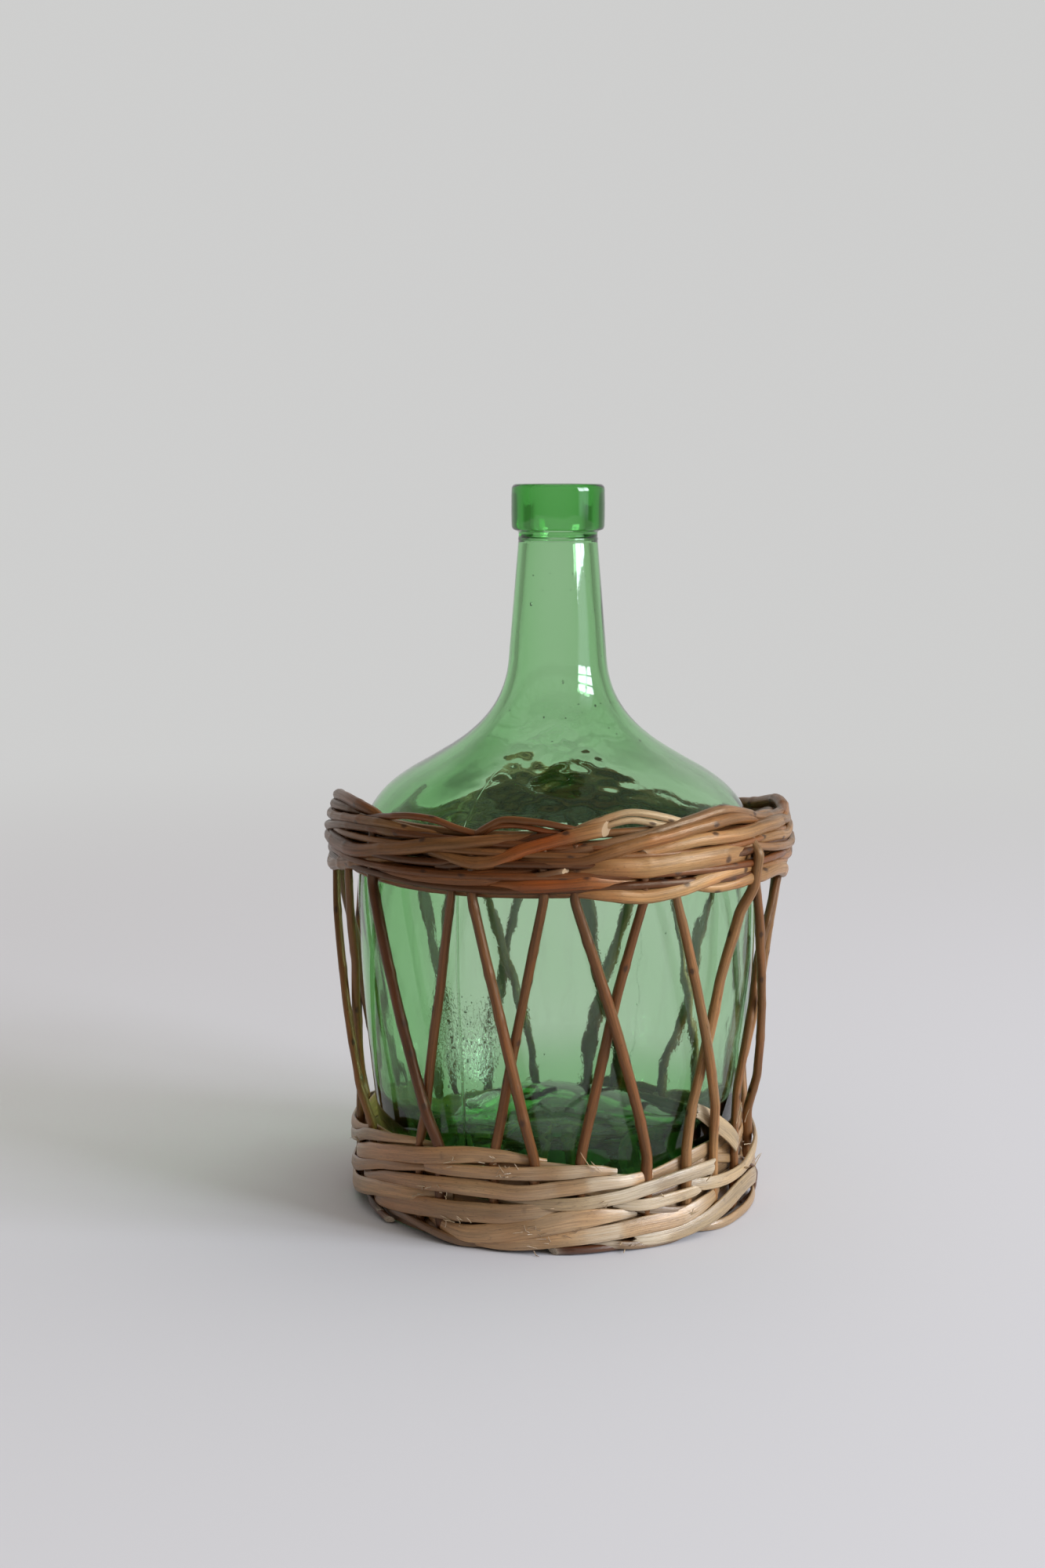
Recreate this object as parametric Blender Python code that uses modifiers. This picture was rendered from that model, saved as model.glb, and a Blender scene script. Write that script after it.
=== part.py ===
"""A demijohn: a green glass bottle that stands in, and lifts out of, a woven willow basket.

Metres, +Z up. The origin is at the middle of the basket's foot, on the surface it stands on.
Angles round the basket are in degrees from its front (-Y), growing towards +X.
"""
import math

import bpy
from mathutils import Vector

# Clearances
GAP = 0.00035
LIFT_GAP = 0.0006

# Glass bottle, from its mouth down
BORE_DIAMETER = 0.0246
BORE_STEP = 0.0013
WALL = 0.0039
COLLAR_STEP = 0.0030
COLLAR_HEIGHT = 0.0205
COLLAR_ROUNDING = 0.0022
BEAD_SIZE = 0.0006
BEAD_DROP = 0.0035
NECK_HEIGHT = 0.0511
NECK_FLARE = 0.0039
SWEEP_HEIGHT = 0.0486
SWEEP_WIDTH = 0.0341
SHOULDER_HEIGHT = 0.0539
SIDE_HEIGHT = 0.1175
BODY_DIAMETER = 0.1788
SIDE_TAPER = 0.0088
HEEL_HEIGHT = 0.016
HEEL_WIDTH = 0.0106
STAND_WIDTH = 0.004
PUNT_HEIGHT = 0.0290
BASE_WALL = 0.0045

# How far each curve of the glass is pulled at its two ends, as shares of its width and height
SWEEP_PULLS = ((0.02, 0.45), (0.28, 0.72))
SHOULDER_PULLS = ((0.66, 0.23), (1.00, 0.36))
SIDE_PULLS = ((0.00, 0.33), (0.33, 0.61))
HEEL_PULLS = ((0.10, 0.55), (0.35, 1.00))
PUNT_PULLS = ((0.12, 0.09), (0.42, 1.00))

# Willow rods and split strips
STAKE_DIAMETER = 0.0042
RIM_ROD_DIAMETER = 0.0048
BORDER_ROD_DIAMETER = 0.0052
STRIP_THICKNESS = 0.0019
STRIP_HEIGHT = 0.0060
FOOT_HOOP_HEIGHT = 0.0078
FLOOR_STICK_DIAMETER = 0.0036
FLOOR_STRIP_THICKNESS = 0.0016
FLOOR_STRIP_WIDTH = 0.0095

# Heights of the basket
RIM_FOOT_HEIGHT = 0.152
BORDER_RISE = 0.0066
FOOT_EASING = 0.016
RIM_EASING = 0.040

# Plan of the basket's floor
STAKE_BEND_RADIUS = 0.006
FLOOR_STRIP_GAP = 0.0010
FLOOR_CROSS_SPREAD = 0.028
FLOOR_CROSS_HALF = 0.012
FLOOR_WAVE_STEEPNESS = 1.45

# Middle and half spread, in degrees, of each pair of stakes as it enters the rim. A pair is a
# stake that leans right as it rises, then one that leans left.
RIM_PAIRS = (
    (-89.0, 4.0),
    (-59.1, 6.6),
    (-23.7, 2.8),
    (0.5, 3.8),
    (25.7, 4.3),
    (57.1, 1.9),
    (87.0, 3.0),
    (118.0, 4.5),
    (149.0, 3.0),
    (181.0, 5.0),
    (211.0, 2.5),
    (241.0, 4.0),
)

# The same at the foot, where each left-leaning stake meets the next pair's right-leaning one
FOOT_PAIRS = (
    (-75.0, 9.5),
    (-38.0, 3.8),
    (-11.9, 5.8),
    (16.3, 9.7),
    (45.5, 5.9),
    (74.5, 10.4),
    (103.0, 5.5),
    (134.0, 7.0),
    (165.0, 5.0),
    (196.0, 8.0),
    (226.0, 6.0),
    (256.0, 6.0),
)

# Pairs that each weaver passes on the inside, lowest weaver first
SIDE_STRIPS_INSIDE = (
    (2, 5, 8, 11),
    (0, 4, 7, 10),
    (1, 3, 6, 9),
    (2, 5, 8, 11),
    (1, 4, 7, 10),
)
RIM_RODS_INSIDE = (
    (1, 6, 9),
    (4, 8, 11),
    (0, 3, 5, 7, 10),
)

# Counts
BORDER_RODS = 5
BORDER_TURNS = 3
FLOOR_STICKS_EACH_WAY = 4
FLOOR_STRIPS = 4
ROD_STEPS = 1
GLASS_STEPS = 32
SWEEP_POINTS = 5
SHOULDER_POINTS = 5
SIDE_POINTS = 4
HEEL_POINTS = 3
PUNT_POINTS = 5
STRIP_POINTS = 60
RIM_POINTS = 48
FLOOR_POINTS = 64
HOOP_POINTS = 36
LATTICE_POINTS = 4
BEND_POINTS = 3

# Sizes that follow from the ones above
BORE_RADIUS = BORE_DIAMETER / 2
NECK_TOP_RADIUS = BORE_RADIUS + BORE_STEP + WALL
BODY_RADIUS = BODY_DIAMETER / 2
HEEL_RADIUS = BODY_RADIUS - SIDE_TAPER
STAND_RADIUS = HEEL_RADIUS - HEEL_WIDTH
WIDEST_HEIGHT = HEEL_HEIGHT + SIDE_HEIGHT
SHOULDER_TOP = WIDEST_HEIGHT + SHOULDER_HEIGHT
NECK_FOOT = SHOULDER_TOP + SWEEP_HEIGHT
COLLAR_FOOT = NECK_FOOT + NECK_HEIGHT
BOTTLE_HEIGHT = COLLAR_FOOT + COLLAR_HEIGHT

STAKE_RADIUS = STAKE_DIAMETER / 2
RIM_ROD_RADIUS = RIM_ROD_DIAMETER / 2
BORDER_ROD_RADIUS = BORDER_ROD_DIAMETER / 2
FLOOR_SWING = FLOOR_STICK_DIAMETER / 2 + GAP + FLOOR_STRIP_THICKNESS / 2
FLOOR_HALF = FLOOR_SWING + FLOOR_STRIP_THICKNESS / 2
FLOOR_HEIGHT = STAKE_DIAMETER + GAP + FLOOR_HALF
FLOOR_STRIPS_RADIUS = STAND_RADIUS - STAND_WIDTH / 2
BOTTLE_FOOT = FLOOR_HEIGHT + FLOOR_HALF + GAP

SIDE_FOOT = FOOT_HOOP_HEIGHT + GAP
SIDE_PITCH = STRIP_HEIGHT + GAP
SIDE_TOP = SIDE_FOOT + SIDE_PITCH * len(SIDE_STRIPS_INSIDE)
SIDE_SWING = STAKE_RADIUS + GAP + STRIP_THICKNESS / 2

RIM_PITCH = RIM_ROD_DIAMETER + GAP
RIM_RODS_TOP = RIM_FOOT_HEIGHT + RIM_PITCH * len(RIM_RODS_INSIDE)
RIM_SWING = STAKE_RADIUS + GAP + RIM_ROD_RADIUS
BORDER_SWING = (BORDER_ROD_DIAMETER + GAP) / (2 * math.sin(math.pi / BORDER_RODS))
BORDER_HEIGHT = RIM_RODS_TOP + BORDER_ROD_RADIUS + BORDER_RISE
RIM_HALF = max(RIM_SWING + RIM_ROD_RADIUS, BORDER_SWING + BORDER_ROD_RADIUS)
RIM_RADIUS = BODY_RADIUS + LIFT_GAP + RIM_HALF


def smooth(share):
    """Eases from 0 to 1."""
    share = min(max(share, 0.0), 1.0)
    return share * share * (3.0 - 2.0 * share)


def mix(first, second, share):
    return first + (second - first) * share


def around(radius, degrees, height):
    """A point at an angle round the basket's axis."""
    turn = math.radians(degrees)
    return Vector((radius * math.sin(turn), -radius * math.cos(turn), height))


def curve_down(start, end, pulls, count):
    """Points of a cubic curve in the profile plane, after its first one."""
    corners = [start]
    for across, down in pulls:
        corners.append((mix(start[0], end[0], across), mix(start[1], end[1], down)))
    corners.append(end)
    points = []
    for step in range(1, count + 1):
        share = step / count
        rest = 1.0 - share
        weights = (rest ** 3, 3 * rest * rest * share, 3 * rest * share * share, share ** 3)
        radius = sum(weight * corner[0] for weight, corner in zip(weights, corners))
        height = sum(weight * corner[1] for weight, corner in zip(weights, corners))
        points.append((radius, height))
    return points


def offset(points, distance):
    """The profile moved towards its inner side, which lies right of its run downwards."""
    moved = []
    for index, (radius, height) in enumerate(points):
        before = points[max(index - 1, 0)]
        after = points[min(index + 1, len(points) - 1)]
        run = Vector((after[0] - before[0], after[1] - before[1])).normalized()
        moved.append((radius + run.y * distance, height - run.x * distance))
    return moved


def collar_profile():
    """Collar and bead, from the top of the mouth down to the neck."""
    outer = NECK_TOP_RADIUS + COLLAR_STEP
    inner = outer - COLLAR_ROUNDING
    corner = COLLAR_ROUNDING * (1.0 - math.sqrt(0.5))
    bead = COLLAR_FOOT - BEAD_DROP
    return [
        (inner, BOTTLE_HEIGHT),
        (outer - corner, BOTTLE_HEIGHT - corner),
        (outer, BOTTLE_HEIGHT - COLLAR_ROUNDING),
        (outer, COLLAR_FOOT + COLLAR_ROUNDING),
        (outer - corner, COLLAR_FOOT + corner),
        (inner, COLLAR_FOOT),
        (NECK_TOP_RADIUS, COLLAR_FOOT - BEAD_SIZE),
        (NECK_TOP_RADIUS, bead + BEAD_SIZE),
        (NECK_TOP_RADIUS + BEAD_SIZE, bead),
        (NECK_TOP_RADIUS, bead - BEAD_SIZE),
    ]


def body_profile():
    """Sweep, shoulder, side and heel, from the neck's foot down to the standing ring."""
    neck_foot = (NECK_TOP_RADIUS + NECK_FLARE, NECK_FOOT)
    shoulder_top = (neck_foot[0] + SWEEP_WIDTH, SHOULDER_TOP)
    widest = (BODY_RADIUS, WIDEST_HEIGHT)
    heel = (HEEL_RADIUS, HEEL_HEIGHT)
    stand = (STAND_RADIUS, 0.0)
    points = [neck_foot]
    points += curve_down(neck_foot, shoulder_top, SWEEP_PULLS, SWEEP_POINTS)
    points += curve_down(shoulder_top, widest, SHOULDER_PULLS, SHOULDER_POINTS)
    points += curve_down(widest, heel, SIDE_PULLS, SIDE_POINTS)
    points += curve_down(heel, stand, HEEL_PULLS, HEEL_POINTS)
    return points


def punt_profile():
    """The pushed-up bottom, from the standing ring's inner edge to the axis."""
    edge = (STAND_RADIUS - STAND_WIDTH, 0.0)
    return [edge] + curve_down(edge, (0.0, PUNT_HEIGHT), PUNT_PULLS, PUNT_POINTS)


BODY_PROFILE = body_profile()


def glass_radius(height):
    """Room that the bottle takes at a height above the ground, also while it is lifted."""
    above = height - BOTTLE_FOOT
    if above >= WIDEST_HEIGHT:
        return BODY_RADIUS
    for upper, lower in zip(BODY_PROFILE, BODY_PROFILE[1:]):
        if lower[1] <= above <= upper[1] and upper[1] <= WIDEST_HEIGHT:
            share = (above - lower[1]) / (upper[1] - lower[1])
            return mix(lower[0], upper[0], share)
    return STAND_RADIUS


FOOT_RADIUS = (
    glass_radius(SIDE_TOP) + LIFT_GAP + STRIP_THICKNESS + GAP + STAKE_RADIUS
)


def make_material(name, colour, roughness, transmission=0.0):
    material = bpy.data.materials.new(name)
    material.use_nodes = True
    shader = material.node_tree.nodes["Principled BSDF"]
    shader.inputs["Base Color"].default_value = (*colour, 1.0)
    shader.inputs["Roughness"].default_value = roughness
    shader.inputs["Metallic"].default_value = 0.0
    shader.inputs["Transmission Weight"].default_value = transmission
    return material


def new_collection(name):
    collection = bpy.data.collections.new(name)
    bpy.context.scene.collection.children.link(collection)
    return collection


def make_bottle(collection, material):
    """One turned piece: inner side up from the punt, over the mouth, down the outer side."""
    outer = collar_profile() + BODY_PROFILE + punt_profile()
    inner_side = offset(BODY_PROFILE, WALL)
    inner_bottom = offset(punt_profile(), BASE_WALL)[1:]
    inner_bottom[-1] = (0.0, PUNT_HEIGHT + BASE_WALL)
    neck_inside = NECK_TOP_RADIUS - WALL
    bore = [
        (BORE_RADIUS, BOTTLE_HEIGHT),
        (BORE_RADIUS, COLLAR_FOOT),
        (neck_inside, COLLAR_FOOT - BEAD_DROP),
    ]
    inner = bore + inner_side + inner_bottom
    profile = inner[::-1] + outer

    mesh = bpy.data.meshes.new("glass_bottle")
    vertices = [(radius, 0.0, height) for radius, height in profile]
    edges = [(index, index + 1) for index in range(len(profile) - 1)]
    mesh.from_pydata(vertices, edges, [])
    bottle = bpy.data.objects.new("glass_bottle", mesh)
    bottle.location.z = BOTTLE_FOOT
    collection.objects.link(bottle)
    mesh.materials.append(material)

    screw = bottle.modifiers.new("turn", "SCREW")
    screw.axis = "Z"
    screw.angle = math.tau
    screw.steps = GLASS_STEPS
    screw.render_steps = GLASS_STEPS
    screw.use_merge_vertices = True
    screw.merge_threshold = 0.00001
    screw.use_smooth_shade = True
    return bottle


def make_section(name, width, height, guides):
    """A closed rectangle that strips are drawn with."""
    curve = bpy.data.curves.new(name, "CURVE")
    curve.dimensions = "2D"
    curve.fill_mode = "NONE"
    spline = curve.splines.new("POLY")
    spline.points.add(3)
    corners = ((-1, -1), (-1, 1), (1, 1), (1, -1))
    for point, (across, up) in zip(spline.points, corners):
        point.co = (across * width / 2, up * height / 2, 0.0, 1.0)
    spline.use_cyclic_u = True
    section = bpy.data.objects.new(name, curve)
    section.hide_render = True
    section.display_type = "WIRE"
    guides.objects.link(section)
    return section


def make_sweep(name, points, closed, collection, material, radius=0.0, section=None):
    """A rod of a given radius, or a strip of a given section, along the points.

    Closed rings lie level, so their section is kept upright all the way round.
    """
    curve = bpy.data.curves.new(name, "CURVE")
    curve.dimensions = "3D"
    curve.twist_mode = "Z_UP" if closed else "MINIMUM"
    curve.use_fill_caps = not closed
    if section:
        curve.bevel_mode = "OBJECT"
        curve.bevel_object = section
    else:
        curve.bevel_depth = radius
        curve.bevel_resolution = ROD_STEPS
    spline = curve.splines.new("POLY")
    spline.points.add(len(points) - 1)
    for point, place in zip(spline.points, points):
        point.co = (*place, 1.0)
    spline.use_cyclic_u = closed
    spline.use_smooth = section is None
    curve.materials.append(material)
    sweep = bpy.data.objects.new(name, curve)
    collection.objects.link(sweep)
    return sweep


def stake_ends():
    """Name, rim angle, foot angle and whether it runs in the outer layer, for each stake."""
    ends = []
    for pair, (middle, half) in enumerate(RIM_PAIRS):
        right_foot = FOOT_PAIRS[pair - 1]
        right_angle = right_foot[0] - right_foot[1]
        if pair == 0:
            right_angle -= 360.0
        left_foot = FOOT_PAIRS[pair]
        left_angle = left_foot[0] + left_foot[1]
        ends.append((f"right_leaning_stake_{pair + 1:02d}", middle - half, right_angle, False))
        ends.append((f"left_leaning_stake_{pair + 1:02d}", middle + half, left_angle, True))
    return ends


def stake_radius_at(height, outer_layer):
    """Distance of a stake's middle from the axis: on the glass, or one layer further out."""
    lattice = glass_radius(height) + GAP + STAKE_RADIUS
    if outer_layer:
        lattice += STAKE_DIAMETER + GAP
    from_foot = smooth((height - SIDE_TOP) / FOOT_EASING)
    to_rim = smooth((height - RIM_FOOT_HEIGHT + RIM_EASING) / RIM_EASING)
    return mix(mix(FOOT_RADIUS, lattice, from_foot), RIM_RADIUS, to_rim)


def stake_points(rim_angle, foot_angle, outer_layer):
    """From its tail under the floor, round the bend, up the side and into the rim."""
    bend_middle = FOOT_RADIUS - STAKE_BEND_RADIUS
    points = [around(FLOOR_STRIPS_RADIUS - FLOOR_STRIP_WIDTH / 2, foot_angle, STAKE_RADIUS)]
    for step in range(BEND_POINTS):
        turn = math.pi / 2 * step / (BEND_POINTS - 1)
        radius = bend_middle + STAKE_BEND_RADIUS * math.sin(turn)
        height = STAKE_RADIUS + STAKE_BEND_RADIUS * (1.0 - math.cos(turn))
        points.append(around(radius, foot_angle, height))

    lattice_foot = SIDE_TOP + FOOT_EASING
    lattice_top = RIM_FOOT_HEIGHT - RIM_EASING
    heights = [SIDE_TOP]
    for step in range(LATTICE_POINTS):
        heights.append(mix(lattice_foot, lattice_top, step / (LATTICE_POINTS - 1)))
    heights.append((lattice_top + RIM_FOOT_HEIGHT) / 2)
    heights.append(RIM_FOOT_HEIGHT)
    heights.append(RIM_RODS_TOP - GAP)
    for height in heights:
        share = (height - SIDE_TOP) / (RIM_FOOT_HEIGHT - SIDE_TOP)
        angle = mix(foot_angle, rim_angle, min(share, 1.0))
        points.append(around(stake_radius_at(height, outer_layer), angle, height))
    return points


def make_stakes(collection, material):
    for name, rim_angle, foot_angle, outer_layer in stake_ends():
        points = stake_points(rim_angle, foot_angle, outer_layer)
        make_sweep(name, points, False, collection, material, radius=STAKE_RADIUS)


def pair_spans(pairs, radius, easing):
    """Start and end angle of the stretch that each pair of stakes takes up."""
    margin = math.degrees(math.asin((STAKE_RADIUS + easing) / radius))
    return [(middle - half - margin, middle + half + margin) for middle, half in pairs]


def weave_side(angle, spans, inside):
    """1 where a weaver runs outside the stakes, -1 inside them, easing over in between."""
    count = len(spans)
    for index, (start, end) in enumerate(spans):
        turned = (angle - start) % 360.0
        width = end - start
        free = (spans[(index + 1) % count][0] - end) % 360.0
        side = -1.0 if index in inside else 1.0
        next_side = -1.0 if (index + 1) % count in inside else 1.0
        if turned <= width:
            return side
        if turned <= width + free:
            return mix(side, next_side, smooth((turned - width) / free))
    return 1.0


def woven_ring(middle_radius, swing, height, spans, inside, count):
    points = []
    for step in range(count):
        angle = 360.0 * step / count
        radius = middle_radius + swing * weave_side(angle, spans, inside)
        points.append(around(radius, angle, height))
    return points


def make_side_weave(collection, guides, material):
    """Flat split strips round the foot of the basket, above a plain hoop that it stands on."""
    strip = make_section("side_strip_section", STRIP_THICKNESS, STRIP_HEIGHT, guides)
    spans = pair_spans(FOOT_PAIRS, FOOT_RADIUS, STRIP_THICKNESS)
    for row, inside in enumerate(SIDE_STRIPS_INSIDE):
        height = SIDE_FOOT + SIDE_PITCH * row + STRIP_HEIGHT / 2
        points = woven_ring(FOOT_RADIUS, SIDE_SWING, height, spans, inside, STRIP_POINTS)
        make_sweep(f"side_strip_{row + 1}", points, True, collection, material, section=strip)

    hoop = make_section("foot_hoop_section", STRIP_THICKNESS, FOOT_HOOP_HEIGHT, guides)
    radius = FOOT_RADIUS + SIDE_SWING
    height = FOOT_HOOP_HEIGHT / 2
    points = woven_ring(radius, 0.0, height, spans, (), HOOP_POINTS)
    make_sweep("foot_hoop", points, True, collection, material, section=hoop)


def make_rim(collection, material):
    """Round rods woven about the tops of the stakes, under a border of twisted rods."""
    spans = pair_spans(RIM_PAIRS, RIM_RADIUS, RIM_ROD_RADIUS)
    for row, inside in enumerate(RIM_RODS_INSIDE):
        height = RIM_FOOT_HEIGHT + RIM_PITCH * row + RIM_ROD_RADIUS
        points = woven_ring(RIM_RADIUS, RIM_SWING, height, spans, inside, RIM_POINTS)
        name = f"rim_rod_{row + 1}"
        make_sweep(name, points, True, collection, material, radius=RIM_ROD_RADIUS)

    for rod in range(BORDER_RODS):
        points = []
        for step in range(RIM_POINTS):
            angle = 360.0 * step / RIM_POINTS
            twist = math.radians(angle * BORDER_TURNS) + math.tau * rod / BORDER_RODS
            radius = RIM_RADIUS + BORDER_SWING * math.sin(twist)
            height = BORDER_HEIGHT - BORDER_RISE * math.cos(twist)
            points.append(around(radius, angle, height))
        name = f"border_rod_{rod + 1}"
        make_sweep(name, points, True, collection, material, radius=BORDER_ROD_RADIUS)


def floor_stick_points(index, crosswise):
    """Beside its neighbours through the middle, then fanned out to the side weave."""
    arms = 4 * FLOOR_STICKS_EACH_WAY
    from_middle = index - (FLOOR_STICKS_EACH_WAY - 1) / 2
    fan = math.radians(360.0 / arms * from_middle)
    shift = from_middle * (FLOOR_STICK_DIAMETER + GAP)
    reach = FOOT_RADIUS - SIDE_SWING - STRIP_THICKNESS / 2 - GAP
    layer = (FLOOR_STICK_DIAMETER + GAP) / 2
    if not crosswise:
        layer = -layer
    arm = [
        (FLOOR_CROSS_HALF, shift, layer),
        (FLOOR_CROSS_SPREAD * math.cos(fan), FLOOR_CROSS_SPREAD * math.sin(fan), 0.0),
        (reach * math.cos(fan), reach * math.sin(fan), 0.0),
    ]
    line = [(-along, across, up) for along, across, up in arm[::-1]] + arm
    points = []
    for along, across, up in line:
        plan = (across, along) if crosswise else (along, across)
        points.append(Vector((*plan, FLOOR_HEIGHT + up)))
    return points


def make_floor(collection, guides, stick_material, strip_material):
    """Sticks crossed four over four and fanned out, with flat strips woven round them."""
    for index in range(FLOOR_STICKS_EACH_WAY):
        for crosswise in (False, True):
            number = index + 1 + (FLOOR_STICKS_EACH_WAY if crosswise else 0)
            points = floor_stick_points(index, crosswise)
            radius = FLOOR_STICK_DIAMETER / 2
            name = f"floor_stick_{number}"
            make_sweep(name, points, False, collection, stick_material, radius=radius)

    size = (FLOOR_STRIP_WIDTH, FLOOR_STRIP_THICKNESS)
    strip = make_section("floor_strip_section", *size, guides)
    arms = 4 * FLOOR_STICKS_EACH_WAY
    for ring in range(FLOOR_STRIPS):
        radius = FLOOR_STRIPS_RADIUS - ring * (FLOOR_STRIP_WIDTH + FLOOR_STRIP_GAP)
        points = []
        for step in range(FLOOR_POINTS):
            angle = 360.0 * step / FLOOR_POINTS
            wave = FLOOR_WAVE_STEEPNESS * math.sin(math.radians(angle * arms / 2))
            swing = max(-1.0, min(1.0, wave))
            if ring % 2:
                swing = -swing
            points.append(around(radius, angle, FLOOR_HEIGHT + FLOOR_SWING * swing))
        name = f"floor_strip_{ring + 1}"
        make_sweep(name, points, True, collection, strip_material, section=strip)


def clear_scene():
    for old in list(bpy.data.objects):
        bpy.data.objects.remove(old)


def main():
    clear_scene()
    parts = new_collection("demijohn")
    guides = new_collection("guides")
    glass = make_material("green_glass", (0.28, 0.62, 0.30), 0.04, transmission=1.0)
    willow = make_material("brown_willow", (0.36, 0.19, 0.10), 0.55)
    split = make_material("split_willow", (0.55, 0.40, 0.25), 0.70)
    make_bottle(parts, glass)
    make_stakes(parts, willow)
    make_rim(parts, willow)
    make_side_weave(parts, guides, split)
    make_floor(parts, guides, willow, split)


main()
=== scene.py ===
"""The looks of a demijohn: a green glass bottle in a woven willow basket.

Lengths are in metres, or in millimetres where a name ends in _MM or a table says so. Angles
round the basket are in degrees from its front (-Y), growing towards +X. A pair of limits says
where something begins and where it is full.
"""

import math
from types import SimpleNamespace

import bpy
import numpy as np
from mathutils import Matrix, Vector


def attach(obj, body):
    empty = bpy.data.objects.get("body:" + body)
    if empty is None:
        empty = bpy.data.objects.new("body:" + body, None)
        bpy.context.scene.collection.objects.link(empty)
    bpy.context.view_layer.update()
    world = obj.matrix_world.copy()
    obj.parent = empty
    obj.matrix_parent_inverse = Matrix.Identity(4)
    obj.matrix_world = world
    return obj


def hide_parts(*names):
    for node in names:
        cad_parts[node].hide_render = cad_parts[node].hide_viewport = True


MM = 0.001

# Camera: a 50 mm lens on a 36 mm sensor, as in the photograph
CAMERA_DISTANCE = 0.966
CAMERA_HEIGHT = 0.3258
CAMERA_PITCH = 8.194
CAMERA_YAW = 0.929
LENS_MM = 50.0
SENSOR_MM = 36.0
MAX_BOUNCES = 16
GLASS_BOUNCES = 14
CLEAR_BOUNCES = 12

# Light
WINDOW_ANGLE = 66.0
WINDOW_ELEVATION = 19.0
WINDOW_DISTANCE = 3.2
WINDOW_WIDTH = 1.72
WINDOW_HEIGHT = 1.42
WINDOW_PANES = (2, 3)
WINDOW_BAR = 0.10
WINDOW_POWER = 98.0
WINDOW_COLOUR = (0.93, 1.0, 1.12)
WINDOW_SHEEN = (1.5, 1.7, 1.9)
SKY_COLOUR = (0.76, 0.73, 0.68)
SKY_FROM_RIGHT = 0.75
SKY_LOW_IN_FRONT = 0.25
BACKDROP_COLOUR = (0.62, 0.62, 0.615)
ROOM_COLOUR = (0.07, 0.065, 0.06)
ROOM_SEEN_THROUGH = (0.38, 0.38, 0.37)
ROOM_SIDE_COLOUR = (0.34, 0.34, 0.31)
FLOOR_COLOUR = (0.635, 0.628, 0.655)
FLOOR_HALF = 5.0
FLOOR_FADE = (0.45, 1.60)
# Limits of the parts of the world, by how far a direction points to the right, back, top or window
LOW_SKY_BY_BACK = (0.1, -0.5)
LOW_SKY_BY_TOP = (0.75, 0.15)
BEHIND_BY_BACK = (-0.2, 0.5)
BEHIND_BY_TOP = (0.75, 0.40)
SHEEN_BY_WINDOW = (0.955, 0.99)
SHEEN_BY_TOP = ((0.8, 0.5), (-0.10, 0.0))
SIDES_BY_RIGHT = ((-0.35, -0.68), (0.38, 0.72))

# Colours of willow, before light
REDDISH = (0.190, 0.066, 0.021)
BROWN = (0.205, 0.090, 0.031)
ORANGE = (0.330, 0.098, 0.021)
TAN = (0.270, 0.138, 0.054)
GREYISH = (0.200, 0.108, 0.052)
DARK = (0.100, 0.035, 0.012)
PALE = (0.370, 0.250, 0.135)
SPLIT = (0.400, 0.236, 0.108)
SPLIT_PALE = (0.440, 0.295, 0.150)
SPLIT_DARK = (0.220, 0.125, 0.058)
KNOT_COLOUR = (0.035, 0.015, 0.010)
TONE_SPREAD = 0.16
SHADE_WANDER = 0.12
# Painted light and shade: the willow's colour is made darker where the window's light falls less,
# at the left, the front and the back, and lighter and bluer at the right, where its light and gloss
# fall. Each row is an angle and shares of red, green and blue: rods of the rim with their bark,
# stakes, split strips, and rods inside the rim, which are only darkened, as painted shade
ROD_PAINTED_LIGHT = (
    (-180, 0.75, 0.72, 0.68), (-100, 0.54, 0.46, 0.38), (-60, 0.54, 0.42, 0.35),
    (-45, 0.76, 0.69, 0.59), (-25, 0.82, 0.80, 0.73), (-8, 0.70, 0.60, 0.53),
    (2, 0.63, 0.47, 0.39), (10, 0.86, 0.76, 0.66), (20, 1.22, 1.24, 1.20),
    (34, 1.32, 1.42, 1.46), (44, 1.20, 1.22, 1.20), (60, 0.95, 0.93, 0.88),
    (110, 0.86, 0.84, 0.80), (180, 0.75, 0.72, 0.68),
)
STAKE_PAINTED_LIGHT = (
    (-180, 0.55, 0.52, 0.50), (-100, 0.75, 0.72, 0.68), (-60, 0.90, 0.84, 0.78),
    (-45, 0.72, 0.58, 0.49), (-20, 0.71, 0.60, 0.52), (3, 0.56, 0.47, 0.42),
    (20, 0.70, 0.60, 0.56), (36, 0.87, 0.83, 0.80), (48, 0.96, 0.93, 0.90),
    (60, 1.00, 0.96, 0.93),
    (110, 0.75, 0.72, 0.68), (180, 0.55, 0.52, 0.50),
)
STRIP_PAINTED_LIGHT = (
    (-180, 0.90, 0.84, 0.78), (-100, 0.86, 0.74, 0.62), (-50, 0.85, 0.64, 0.49),
    (-35, 0.91, 0.77, 0.64), (-24, 1.04, 0.97, 0.89), (-12, 0.86, 0.79, 0.72),
    (-2, 0.90, 0.88, 0.86), (8, 1.16, 1.20, 1.27), (18, 1.08, 1.13, 1.22),
    (30, 0.97, 1.00, 1.07), (44, 0.88, 0.91, 0.93), (60, 0.88, 0.90, 0.90),
    (110, 0.88, 0.84, 0.80), (180, 0.90, 0.84, 0.78),
)
INNER_PAINTED_SHADE = (
    (-180, 0.42, 0.40, 0.36), (-120, 0.45, 0.42, 0.38), (-70, 0.60, 0.55, 0.48),
    (0, 0.70, 0.62, 0.56), (70, 0.80, 0.76, 0.70), (120, 0.50, 0.47, 0.43),
    (180, 0.42, 0.40, 0.36),
)
# How a stake darkens towards its top, from its tail on
STAKE_FADE = (1.0, 1.0, 1.0, 1.0, 1.0, 0.97, 0.88, 0.72, 0.66)
# A painted highlight on the split strips, pale streaks where the window's light and gloss fall:
# share, middle and reach
PAINTED_HIGHLIGHT_SHARE = 0.80
PAINTED_HIGHLIGHT_ANGLE = 19.0
PAINTED_HIGHLIGHT_REACH = 20.0
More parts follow.
